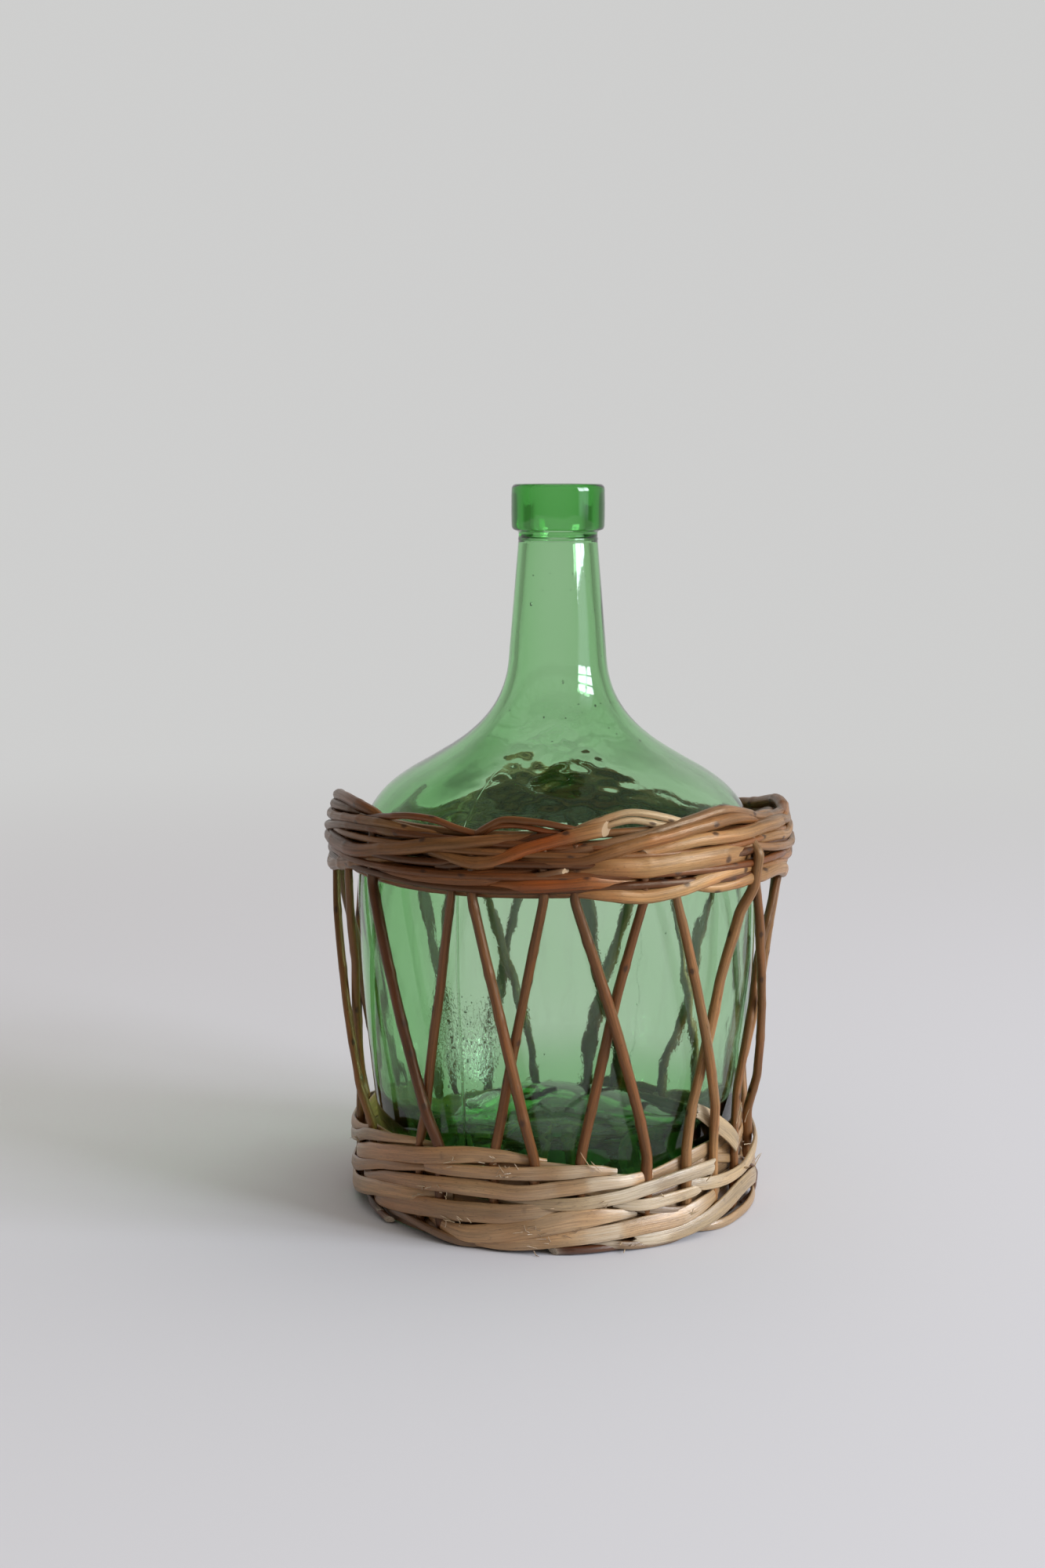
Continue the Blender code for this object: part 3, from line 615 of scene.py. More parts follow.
def bulge(degrees, height_mm):
    """How much further out than its round outline the basket lies."""
    heights, left, right = zip(*BULGE_MM)
    sideways = np.sin(np.radians(degrees))
    left = np.interp(height_mm, heights, left) * np.minimum(sideways, 0.0) ** 2
    return left + np.interp(height_mm, heights, right) * np.maximum(sideways, 0.0) ** 2


def curve_through(points, step):
    """A smooth curve through the points, as rows about one step apart."""
    points = np.asarray(points, dtype=float)
    ahead = np.vstack([points[1:], 2 * points[-1:] - points[-2:-1]])
    behind = np.vstack([2 * points[:1] - points[1:2], points[:-1]])
    tangents = unit(ahead - behind)
    rows = []
    for index in range(len(points) - 1):
        start, end = points[index], points[index + 1]
        length = np.linalg.norm(end - start)
        count = max(2, int(math.ceil(length / step)))
        share = np.arange(count)[:, None] / count
        rest = 1.0 - share
        rows.append(
            start * (1 + 2 * share) * rest ** 2
            + tangents[index] * length * share * rest ** 2
            + end * share ** 2 * (3 - 2 * share)
            - tangents[index + 1] * length * share ** 2 * rest
        )
    rows.append(points[-1:])
    return np.vstack(rows)


def wander(places, wavelength, rng):
    """Smooth random values between -1 and 1 along the places."""
    turns = places / wavelength
    knots = rng.uniform(-1.0, 1.0, int(turns.max() - turns.min()) + 4)
    steps = turns - turns.min()
    index = steps.astype(int)
    return mix(knots[index], knots[index + 1], smooth(steps - index))


def stray(places, size_and_wave, rng):
    """A wander of the given size."""
    size, wave = size_and_wave
    return size * wander(places, wave, rng)


def run_lengths(path):
    steps = np.linalg.norm(np.diff(path, axis=0), axis=1)
    return np.concatenate([[0.0], np.cumsum(steps)])


def tube_faces(rings, sides, first=0):
    """Quads between rings of points that follow each other from the first point on."""
    faces = []
    for low in range(first, first + (rings - 1) * sides, sides):
        for step in range(sides):
            after = low + (step + 1) % sides
            faces.append((low + step, after, after + sides, low + step + sides))
    return faces


def new_object(name, points, faces, material):
    """A smooth mesh object in the scene."""
    mesh = bpy.data.meshes.new(name)
    mesh.from_pydata(points, [], faces)
    mesh.polygons.foreach_set("use_smooth", [True] * len(mesh.polygons))
    mesh.materials.append(material)
    item = bpy.data.objects.new(name, mesh)
    bpy.context.scene.collection.objects.link(item)
    return item


class Piece:
    """Gathers the rods and strips of one piece and makes its mesh."""

    KINDS = {
        "grain": ("FLOAT_VECTOR", "vector"), "tint": ("FLOAT_COLOR", "color"),
        "mark": ("FLOAT", "value"), "cut": ("FLOAT", "value"),
    }

    def __init__(self):
        self.points = []
        self.faces = []
        self.values = {name: [] for name in self.KINDS}
        self.size = 0

    def add(self, points, faces, **values):
        self.faces.extend([index + self.size for index in face] for face in faces)
        self.points.append(points)
        for name, rows in values.items():
            self.values[name].append(rows)
        self.size += len(points)

    def make(self, name, material, slot, nodes):
        piece = new_object(name, np.vstack(self.points) * MM, self.faces, material)
        for field, (kind, key) in self.KINDS.items():
            rows = np.concatenate(self.values[field]).astype(np.float32)
            attribute = piece.data.attributes.new(field, kind, "POINT")
            attribute.data.foreach_set(key, rows.ravel())
        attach(piece, "basket")
        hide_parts(*nodes)
        return piece


def section_directions(tangents, outward, places, kind, tilt, rng):
    """Outward and sideways directions of the section, a little twisted along the path."""
    outward = unit(outward - tangents * np.sum(outward * tangents, axis=1, keepdims=True))
    side = np.cross(tangents, outward)
    turn = np.radians(tilt + kind.twist * wander(places, TWIST_WAVE_MM, rng))[:, None]
    out = outward * np.cos(turn) + side * np.sin(turn)
    return out, np.cross(tangents, out)


def section_sizes(places, widths, thickness, ends, kind, rng):
    """Width and depth of the section along the path, less where an end is tucked away."""
    length = places[-1]
    share = places / length
    start, middle, end = widths
    width = np.where(share < 0.5, mix(start, middle, smooth(share / TAPER_SHARE)),
                     mix(end, middle, smooth((1.0 - share) / TAPER_SHARE)))
    width = width * (1.0 + kind.width_wander * wander(places, WIDTH_WAVE_MM, rng))
    depth = np.minimum(thickness, width)
    depth = depth * (1.0 + DEPTH_WANDER * wander(places, DEPTH_WAVE_MM, rng))
    for from_end, end_kind in zip((places, length - places), ends):
        if end_kind == TUCKED:
            tip = mix(TIP_SHARE, 1.0, smooth(from_end / TIP_MM))
            width = width * tip
            depth = depth * tip
    return width, depth


def knots_along(places, kind, rng):
    """Swelling at the knots, and place and turn of each knot's dark mark."""
    swelling = np.zeros(len(places))
    marks = []
    place = rng.uniform(*FIRST_KNOT_MM)
    while place < places[-1]:
        swelling += kind.knot * bell(places - place, KNOT_HALF_MM)
        marks.append((place, rng.uniform(0, math.tau)))
        place += rng.uniform(*KNOT_APART_MM)
    return swelling, marks


def section_shape(places, phi, sizes, swelling, kind, rng):
    """How far each point of the section lies outward and sideways, and its shares of both."""
    across, thick = np.sin(phi), np.cos(phi)
    across = np.sign(across) * np.abs(across) ** kind.side_power
    thick = np.sign(thick) * np.abs(thick) ** kind.face_power
    uneven = np.ones((len(places), len(phi)))
    for wave in SECTION_WAVES:
        phase = 2.0 * wander(places, SECTION_WAVE_MM, rng)[:, None] + rng.uniform(0, math.tau)
        uneven += kind.uneven * np.sin(wave * phi + phase)
    uneven += swelling[:, None] * (1.0 + 0.6 * np.cos(phi + rng.uniform(0, math.tau)))
    sideways, outwards = (size[:, None] / 2 * form * uneven
                          for size, form in zip(sizes, (across, thick)))
    if kind is STRIP:
        crown = CROWN_MM * (1.0 - across ** 2) * (0.6 + 0.4 * thick)
        heights = rng.uniform(-RIDGE_MM, RIDGE_MM, RIDGES)
        ridges = np.interp(across, np.linspace(-1, 1, RIDGES), heights)
        outwards = outwards + crown + ridges * np.sign(thick)
    return outwards, sideways, across, thick


def shape_ends(rows, tangents, from_ends, depth, across, thick, ends, rng):
    """Cuts an end at a slant, or frays it."""
    for from_end, end_kind, sign in zip(from_ends, ends, (1.0, -1.0)):
        if end_kind == CUT:
            slant = (SLANT[0] * across + SLANT[1] * thick) * depth[:, None] / 2
            pull = slant * np.exp(-from_end / SLANT_REACH_MM)[:, None]
            rows = rows + tangents[:, None, :] * (sign * pull)[..., None]
        if end_kind == FRAYED:
            jag = np.interp(across, np.linspace(-1, 1, 9), rng.uniform(0.0, JAG_MM, 9))
            pull = jag * np.exp(-from_end / JAG_REACH_MM)[:, None]
            rows = rows + tangents[:, None, :] * (sign * pull)[..., None]
    return rows


def tints_along(places, turns, tone, painted_light, rng):
    """Colour along the path: its own, made lighter or darker by its place round the basket, as
    painted light and shade.
    """
    tones = np.array(tone).reshape(-1, 3) * (1.0 + rng.uniform(-TONE_SPREAD, TONE_SPREAD))
    tone = columns_between(places / places[-1], np.linspace(0.0, 1.0, len(tones)), tones)
    painted_light = np.array(painted_light)
    shade = columns_between(turns, painted_light[:, 0], painted_light[:, 1:])
    shade = shade * (1.0 + SHADE_WANDER * wander(places, SHADE_WAVE_MM, rng))[:, None]
    return np.hstack([tone * shade, np.ones((len(places), 1))])


def sweep(piece, path, outward, widths, thickness, tone, ends, rng, kind=ROD, tilt=0.0,
          painted_light=None):
    """Adds a rod or a flat strip along the path, in millimetres, to the piece."""
    places = run_lengths(path)
    from_ends = (places, places[-1] - places)
    tangents = unit(np.gradient(path, axis=0))
    out, side = section_directions(tangents, outward, places, kind, tilt, rng)
    sizes = section_sizes(places, widths, thickness, ends, kind, rng)
    swelling, marks = knots_along(places, kind, rng)
    phi = np.arange(kind.sides) * math.tau / kind.sides
    outwards, sideways, across, thick = section_shape(places, phi, sizes, swelling, kind, rng)
    rows = (path[:, None, :] + out[:, None, :] * outwards[..., None]
            + side[:, None, :] * sideways[..., None])
    rows = shape_ends(rows, tangents, from_ends, sizes[1], across, thick, ends, rng)

    seed = rng.uniform(0, 5000.0)
    grain = np.stack(np.broadcast_arrays(
        places[:, None] + seed, sideways + seed, outwards), axis=-1).reshape(-1, 3)
    turns = turn_of(path)
    # Painted light and shade: the colour is darkened or lightened by the angle round the basket
    tint = tints_along(places, turns, tone, painted_light or kind.painted_light, rng)
    mark = np.zeros(outwards.shape)
    for place, turn in marks:
        near = kind.mark * bell(places - place, MARK_HALF_MM)[:, None]
        mark += near * bell(np.angle(np.exp(1j * (phi - turn))), MARK_HALF_TURN)
    cut = np.zeros(outwards.shape)
    for from_end, end_kind in zip(from_ends, ends):
        if end_kind != TUCKED:
            cut += CUT_SHADE * np.exp(-from_end / CUT_REACH_MM[end_kind])[:, None]
    # Painted highlight: pale streaks where the window lights the strips, put in the mask of the cut
    # ends
    if kind is STRIP:
        painted_highlight = PAINTED_HIGHLIGHT_SHARE * bell(turns - PAINTED_HIGHLIGHT_ANGLE, PAINTED_HIGHLIGHT_REACH)
        painted_highlight = painted_highlight * smooth(0.4 + 1.4 * wander(places, PAINTED_HIGHLIGHT_WAVE_MM, rng))
        cut += painted_highlight[:, None] * (0.6 + 0.4 * thick)

    piece.add(rows.reshape(-1, 3), tube_faces(len(path), kind.sides), grain=grain,
              tint=np.repeat(tint, kind.sides, axis=0), mark=mark.ravel(), cut=cut.ravel())
    for at, end_kind in zip((0, -1), ends):
        cap(piece, rows[at], at == 0, end_kind, tint[at], seed)


def cap(piece, ring, at_start, end_kind, tint, seed):
    """Closes one end of a swept piece."""
    sides = len(ring)
    middle = ring.mean(axis=0)
    points = np.vstack([ring, mix(middle, ring, 0.5), middle])
    faces = []
    for step in range(sides):
        after = (step + 1) % sides
        quad = [step, after, sides + after, sides + step]
        fan = [sides + step, sides + after, 2 * sides]
        faces += [quad[::-1], fan[::-1]] if at_start else [quad, fan]
    count = len(points)
    piece.add(points, faces, grain=np.hstack([np.full((count, 1), seed), points[:, 1:] * 2.0]),
              tint=np.tile(tint, (count, 1)), mark=np.zeros(count),
              cut=np.full(count, 0.0 if end_kind == TUCKED else 1.0))


def back_fall(angles, heights):
    """How far the weave lies lower at the back than a copy of the front would."""
    at_back = between(np.abs(apart(angles, 180.0)), BACK_LIMITS)
    foot = BACK_FOOT_FALL * heights * at_back
    rim = eased_between(angles % 360.0, RIM_FALL_MM)
    return mix(foot, rim, between(heights, RIM_LIMITS_MM))


def laid_path(route, thickness, turned, rng):
    """The path of a rod or strip that lies in the weave, and its outward directions."""
    route = np.array(route, dtype=float)
    reach = BASKET_OUTLINE_MM[-1][1]
    flat = np.stack([np.radians(route[:, 0]) * reach, route[:, 1], route[:, 2]], axis=1)
    rows = curve_through(flat, STEP_MM)
    places = np.arange(len(rows)) * STEP_MM
    angles = np.degrees(rows[:, 0] / reach) + turned
    heights = rows[:, 1] + stray(places, HEIGHT_STRAY_MM, rng)
    beyond = 1.0 if turned else between(np.abs(angles), BEYOND_LIMITS)
    heights = heights - beyond * back_fall(angles, heights)
    radius = outline(heights) - rows[:, 2] - thickness / 2
    radius = radius + bulge(angles, heights) + stray(places, DEPTH_STRAY_MM, rng)
    return around(radius, angles, heights), around(1.0, angles, 0.0)


def keep_clear(path, thickness, half_height):
    """Keeps a path above the ground, and above the foot clear of the room that the bottle has."""
    path[:, 2] = np.maximum(path[:, 2], min(half_height, LOWEST_MM))
    least = np.where(path[:, 2] > FOOT_TOP_MM, BOTTLE_ROOM_MM, 0.0) + thickness / 2
    path[:, :2] *= np.maximum(least / reach_of(path), 1.0)[:, None]


def lay(pieces, rows, seed, kind):
    """Lays each row of a table in the front half, and again half a turn on."""
    for number, (name, widths, tone, ends, route, *once) in enumerate(rows):
        for turned in (0.0,) if once else (0.0, 180.0):
            rng = np.random.RandomState(seed + number * 2 + int(turned > 0))
            scale = 1.0 if kind is STRIP else RIM_ROD_SCALE
            if turned:
                scale *= rng.uniform(*BACK_SCALE)
            sizes = tuple(width * scale for width in widths)
            flat = kind is STRIP and tone in (SPLIT, SPLIT_PALE, SPLIT_DARK)
            thickness = STRIP_THICKNESS_MM if flat else max(sizes)
            if kind is ROD:
                thickness = min(thickness, RIM_ROD_DEPTH_MM)
            if turned:
                shift = rng.uniform(-0.5, 0.5, (len(route), 3)) * np.array(BACK_SHIFT)
                route = np.array(route, dtype=float) + shift
                route[:, 1] = np.maximum(route[:, 1], max(sizes) / 2)
                route[:, 2] = np.maximum(route[:, 2], 0.0)
            path, outward = laid_path(route, thickness, turned, rng)
            keep_clear(path, thickness, widths[1] / 2 if kind is STRIP else thickness / 2)
            sweep(pieces[name], path, outward, sizes, thickness, tone, ends, rng,
                  kind=STRIP if flat else ROD, tilt=STRIP_TILT if flat else 0.0)


def lay_ring_rods(pieces, rows, seed):
    for number, (name, height, diameter, waves, start, tone, *depth) in enumerate(rows):
        rng = np.random.RandomState(seed + number)
        angles = np.arange(start, start + 360.0 + INNER_LAP, 1.0)
        radius = BOTTLE_ROOM_MM + diameter / 2 + RING_GAP_MM
        if depth:
            radius = outline(height) - depth[0] - diameter / 2
        radius = radius + bulge(angles, height) + stray(angles, RING_STRAY_MM, rng)
        lap = smooth((angles - angles[0]) / INNER_LAP) - smooth((angles[-1] - angles) / INNER_LAP)
        heights = height + INNER_WAVE_MM * np.sin(np.radians(angles * waves) + number)
        heights = heights + LAP_RISE_MM * lap
        heights = heights - back_fall(angles, heights)
        # Painted shade: these rods inside the rim are darkened, most at the back
        sweep(pieces[name], around(radius, angles, heights), around(1.0, angles, 0.0),
              (diameter,) * 3, diameter, tone, LAID_IN, rng, painted_light=INNER_PAINTED_SHADE)


def lay_inner_strips(pieces):
    for number, (name, height, width, start, tone) in enumerate(INNER_STRIPS):
        rng = np.random.RandomState(INNER_STRIP_SEED + number)
        angles = np.arange(start, start + 360.0 + INNER_LAP, 1.2)
        wave = np.sin(np.radians(angles * INNER_STRIP_WAVES) + number * math.pi)
        radius = INNER_STRIP_RADIUS_MM + INNER_STRIP_WAVE_MM * wave + bulge(angles, height)
        heights = height + stray(angles, INNER_STRIP_STRAY_MM, rng)
        heights = heights * (1.0 - DIP_SHARE * bell(apart(angles, DIP_ANGLE), DIP_HALF_WIDTH))
        heights = np.maximum(heights - back_fall(angles, heights), width / 2 + INNER_STRIP_RISE_MM)
        sweep(pieces[name], around(radius, angles, heights), around(1.0, angles, 0.0),
              (width,) * 3, STRIP_THICKNESS_MM, tone, LAID_IN, rng, kind=STRIP)


def all_fibres():
    """The listed fibres, and random ones in each tuft."""
    rng = np.random.RandomState(TUFT_SEED)
    fibres = list(FIBRES)
    for degrees, height, count in FIBRE_TUFTS:
        for _ in range(count):
            fibres.append((degrees + rng.normal(0.0, FIBRE_SPREAD[0]),
                           max(height + rng.normal(0.0, FIBRE_SPREAD[1]), 1.0),
                           rng.uniform(*FIBRE_LENGTH_MM), rng.uniform(*FIBRE_LEAN)))
    return fibres


def lay_fibres(piece):
    size = FIBRE_DIAMETER_MM
    for number, (degrees, height, length, lean) in enumerate(all_fibres()):
        lean = math.radians(lean)
        for turned in (0.0, 180.0):
            rng = np.random.RandomState(FIBRE_SEED + number * 2 + int(turned > 0))
            angle = degrees + turned
            along = around(1.0, angle + 90.0, 0.0)
            out = around(1.0, angle, 0.0)
            way = along * math.sin(lean) + np.array((0, 0, 1.0)) * math.cos(lean)
            height = height - float(back_fall(angle, height))
            foot = around(outline(height) + bulge(angle, height) - FIBRE_ROOT_MM, angle, height)
            share = np.linspace(0.0, 1.0, FIBRE_STEPS)[:, None]
            bow = rng.uniform(*FIBRE_BOW_MM)
            path = foot + way * length * share + out * (bow * share + FIBRE_CURL_MM * share ** 2)
            path = path + along * rng.uniform(*FIBRE_SWAY_MM) * share ** 2
            path[:, 2] = np.maximum(path[:, 2], FIBRE_LOWEST_MM)
            sweep(piece, path, np.repeat(along[None, :], len(path), axis=0),
                  (size, size * 0.8, size * 0.3), size, SPLIT_PALE, (CUT, CUT), rng)


def node_vertices(node):
    """The node's vertices in millimetres, and its edges."""
    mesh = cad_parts[node].data
    points = np.empty(len(mesh.vertices) * 3)
    mesh.vertices.foreach_get("co", points)
    edges = np.empty(len(mesh.edges) * 2, dtype=int)
    mesh.edges.foreach_get("vertices", edges)
    return points.reshape(-1, 3) / MM, edges.reshape(-1, 2)


def section_middle(points, edges, height):
    """Middle of the node's section at a height."""
    start, end = points[edges[:, 0]], points[edges[:, 1]]
    crossing = (start[:, 2] - height) * (end[:, 2] - height) < 0
    start, end = start[crossing], end[crossing]
    share = (height - start[:, 2]) / (end[:, 2] - start[:, 2])
    met = mix(start, end, share[:, None])
    return (met.min(axis=0) + met.max(axis=0)) / 2


def stake_rows(points, edges, width):
    """Points from the stake's tail under the floor, round its bend and up the model's stake."""
    foot = section_middle(points, edges, STAKE_CLEAR_MM)
    angle = float(turn_of(foot))
    rise = width / 2 + STAKE_RISE_MM
    bend = reach_of(foot) - STAKE_BEND_MM
    tail = reach_of(points).min()
    rows = [around(mix(tail, bend, share), angle, rise) for share in (0.0, 0.5, 1.0)]
    for turn in np.radians(STAKE_TURNS):
        rows.append(around(bend + STAKE_BEND_MM * math.sin(turn), angle,
                           rise + STAKE_BEND_MM * (1 - math.cos(turn))))
    for height in np.arange(STAKE_CLEAR_MM, points[:, 2].max() - width, STAKE_STEP_MM):
        rows.append(section_middle(points, edges, height))
    last = rows[-1]
    top = STAKE_TOP_MM - float(back_fall(float(turn_of(last)), STAKE_TOP_MM))
    rows = [row for row in rows if row[2] < top - 2.0]
    return np.array(rows + [np.array((last[0], last[1], top))]), angle


def stake_path(node, width, rng):
    """The stake's path, its outward directions, and its angle at the foot."""
    rows, angle = stake_rows(*node_vertices(node), width)
    path = curve_through(rows, STEP_MM)
    places = run_lengths(path)
    free = between(path[:, 2], STAKE_FREE_MM[0]) * between(path[:, 2], STAKE_FREE_MM[1])
    along = around(1.0, angle + 90.0, 0.0)
    sway = stray(places, STAKE_STRAY_MM, rng) * free
    path = path + along * sway[:, None]
    reach = reach_of(path)
    turns = turn_of(path)
    further = bulge(turns, path[:, 2]) * between(reach, STAKE_BULGES_MM)
    path[:, :2] *= (1.0 + further / reach)[:, None]
    if node == OUTER_STAKE:
        in_front = between(path[:, 2], OUTER_STAKE_FROM_MM) * between(path[:, 2], OUTER_STAKE_TO_MM)
        target = outline(path[:, 2]) + bulge(turns, path[:, 2]) - width / 2
        path[:, :2] *= mix(1.0, target / reach_of(path), in_front)[:, None]
    outward = np.cross(np.repeat(along[None, :], len(path), axis=0), np.gradient(path, axis=0))
    return path, outward, angle


def nodes_with(part):
    return sorted(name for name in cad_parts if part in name)


def make_stakes(material):
    for number, node in enumerate(nodes_with("leaning_stake")):
        rng = np.random.RandomState(STAKE_SEED + number)
        on_left = node.startswith("left")
        place = number % len(LEFT_STAKES_MM)
        width = (LEFT_STAKES_MM if on_left else RIGHT_STAKES_MM)[place]
        tone = (LEFT_STAKE_TONES if on_left else RIGHT_STAKE_TONES)[place]
        path, outward, angle = stake_path(node, width, rng)
        breadth = width * (BACK_STAKE_BREADTH if abs(angle) > BACK_STAKES_FROM else 1.0)
        piece = Piece()
        # Painted light and shade by the angle round the basket; the stake also darkens towards its
        # top
        sweep(piece, path, outward, (breadth * 1.05, breadth, breadth * 0.9), width,
              np.array(STAKE_FADE)[:, None] * tone, (CUT, TUCKED), rng, painted_light=STAKE_PAINTED_LIGHT)
        piece.make(f"{node}_bark", material, "brown_willow", (node,))


def make_rim(material):
    pieces = {name: Piece() for name in sorted({row[0] for row in RIM_RODS})}
    lay(pieces, RIM_RODS, RIM_SEED, ROD)
    lay_ring_rods(pieces, INNER_RODS, INNER_ROD_SEED)
    lay_ring_rods(pieces, MIDDLE_RODS, MIDDLE_ROD_SEED)
    for name, piece in pieces.items():
        piece.make(f"{name}_bark", material, "brown_willow", (name,))


def make_foot(material):
    pieces = {name: Piece() for name in sorted({row[0] for row in FOOT_STRIPS})}
    lay(pieces, FOOT_STRIPS, FOOT_SEED, STRIP)
    lay_inner_strips(pieces)
    lay_fibres(pieces["side_strip_3"])
    for name, piece in pieces.items():
        piece.make(f"{name}_split", material, "split_willow", (name,))


def upwards(path):
    return np.repeat(np.array([[0, 0, 1.0]]), len(path), axis=0)


def make_floor_sticks(material):
    """The crossed sticks of the floor, along the model's own."""
    for number, node in enumerate(nodes_with("floor_stick")):
        rng = np.random.RandomState(FLOOR_STICK_SEED + number)
        points, _ = node_vertices(node)
        spread = points.max(axis=0) - points.min(axis=0)
        axis = 0 if spread[0] > spread[1] else 1
        ends = points[:, axis]
        stations = np.unique(np.round(ends, 0))
        rows = []
        for station in np.linspace(stations[0], stations[-1], FLOOR_STICK_ROWS):
            order = np.argsort(np.abs(ends - station))[:FLOOR_STICK_NEAREST]
            rows.append(points[order].mean(axis=0))
            rows[-1][axis] = station
        path = curve_through(np.array(rows), STEP_MM * 2)
        piece = Piece()
        sweep(piece, path, upwards(path), FLOOR_STICK_MM, FLOOR_STICK_MM[1], BROWN, LAID_IN, rng)
        piece.make(f"{node}_bark", material, "brown_willow", (node,))


def make_floor_strips(material):
    """The flat strips woven round the sticks, along the model's own."""
    for number, node in enumerate(nodes_with("floor_strip")):
        rng = np.random.RandomState(FLOOR_STRIP_SEED + number)
        points, _ = node_vertices(node)
        radii = reach_of(points)
        width = radii.max() - radii.min()
        turns = turn_of(points) % 360.0
        angles = np.arange(0.0, 362.0, 1.0)
        heights = []
        for angle in angles:
            near = points[np.abs(apart(turns, angle)) < FLOOR_STRIP_NEAR][:, 2]
            heights.append((near.min() + near.max()) / 2)
        radius = (radii.min() + radii.max()) / 2 + stray(angles, FLOOR_STRIP_STRAY_MM, rng)
        path = around(radius, angles, np.array(heights))
        piece = Piece()
        sweep(piece, path, upwards(path), (width * FLOOR_STRIP_SHARE,) * 3, FLOOR_STRIP_MM, SPLIT,
              LAID_IN, rng, kind=STRIP)
        piece.make(f"{node}_split", material, "split_willow", (node,))


def model_profile():
    """The bottle's profile, from the middle of its bottom out, up and down inside again."""
    points, edges = node_vertices("glass_bottle")
    on_plane = (np.abs(points[:, 1]) < 0.01) & (points[:, 0] > -0.01)
    keys = {}
    for index in np.flatnonzero(on_plane):
        keys[index] = (round(points[index, 0], 2), round(points[index, 2], 2))
    neighbours = {}
    for first, second in edges:
        if first in keys and second in keys and keys[first] != keys[second]:
            neighbours.setdefault(keys[first], set()).add(keys[second])
            neighbours.setdefault(keys[second], set()).add(keys[first])
    ends = sorted((key for key in neighbours if key[0] < 0.05), key=lambda key: key[1])
    chain = [ends[0]]
    while chain[-1] != ends[-1]:
        here = chain[-1]
        ahead = [key for key in neighbours[here] if key not in chain]
        chain.append(min(ahead, key=lambda key: math.dist(key, here)))
    return np.array(chain)


def eased_profile(chain):
    """The profile as a smooth curve, with sharp corners slightly rounded."""
    rows = [np.array((-chain[1][0], chain[1][1])), chain[0]]
    for index in range(1, len(chain) - 1):
        here = chain[index]
        before = unit(chain[index - 1] - here)
        after = unit(chain[index + 1] - here)
        bend = 180.0 - math.degrees(math.acos(np.clip(np.dot(before, after), -1, 1)))
        if bend > CORNER_LIMIT:
            cut = MOUTH_EDGE_MM
            rows += [here + before * cut, here + (before + after) * cut * MOUTH_EDGE_SHARE,
                     here + after * cut]
        else:
            rows.append(here)
    rows += [chain[-1], np.array((-chain[-2][0], chain[-2][1]))]
    fine = curve_through(rows, GLASS_STEP_MM)
    inside = np.flatnonzero(fine[:, 0] > 0.0)
    fine = fine[inside[0]:inside[-1] + 1]
    return np.vstack([chain[:1], fine, chain[-1:]])


def ripples(angles, heights, rng, count, turns, lengths):
    """A field of gentle waves over the glass, about -1 to 1."""
    field = np.zeros((len(heights), len(angles)))
    total = 0.0
    for _ in range(count):
        number = rng.randint(*turns)
        length = rng.uniform(*lengths)
        weight = 1.0 / math.sqrt(number)
        phase = rng.uniform(0, math.tau)
        climb = math.tau * heights / length * rng.choice((-1, 1))
        field += weight * np.sin(number * angles[None, :] + climb[:, None] + phase)
        total += weight ** 2 / 2
    return field / math.sqrt(total) / 2


def glass_shift(radii, heights, inner, degrees, rng):
    """How far the glass lies off the model's surface, at each height and angle."""
    angles = np.radians(degrees)
    fields = (ripples(angles, heights, rng, *table) for table in (
        LONG_RIPPLES, FINE_RIPPLES, OUTER_RIPPLES, SHOULDER_RIPPLES, JAG_RIPPLES))
    waves, fine, outer, swells, jags = fields
    body = between(heights, WAVES_BY_HEIGHT_MM) * between(radii, WAVES_BY_RADIUS_MM[0])
    body = body * mix(between(radii, WAVES_BY_RADIUS_MM[1]), 1.0, between(heights, ABOVE_FOOT_MM))
    calm = 1.0 - SHOULDER_CALM * between(heights, CALM_MM)[:, None]
    waves = waves * (1.0 + BACK_WAVES * between(-np.cos(angles), AT_BACK)) * calm
    fine = FINE_SHARE * (fine * calm)
    shift = np.where(inner[:, None], INNER_WAVES_MM * (waves + fine),
                     OUTER_WAVES_MM * (outer + fine)) * body[:, None]

    thin = BODY_THINNING_MM * inner * between(heights, THIN_MM[0]) * between(heights, THIN_MM[1])
    shift -= thin[:, None] * (1.0 - LEFT_THICKENING * between(-np.sin(angles), AT_LEFT))
    shift += (BOTTOM_THICKENING_MM * inner * between(heights, BOTTOM_MM))[:, None]
    shoulder = inner * between(heights, SHOULDER_MM[0]) * between(heights, SHOULDER_MM[1])
    shoulder = shoulder[:, None] * between(np.abs(np.sin(angles)), IN_MIDDLE)
    shift += shoulder * (SHOULDER_WAVES_MM * swells + SHOULDER_JAGS_MM * jags)
    seam_height = SEAM_HEIGHT_MM * between(heights, SEAM_MM[0]) * between(heights, SEAM_MM[1])
    seam_height = seam_height * ~inner * (radii > SEAM_INNERMOST_MM)
    for seam in SEAMS:
        shift += seam_height[:, None] * bell(apart(degrees, seam), SEAM_HALF_WIDTH)
    return shift


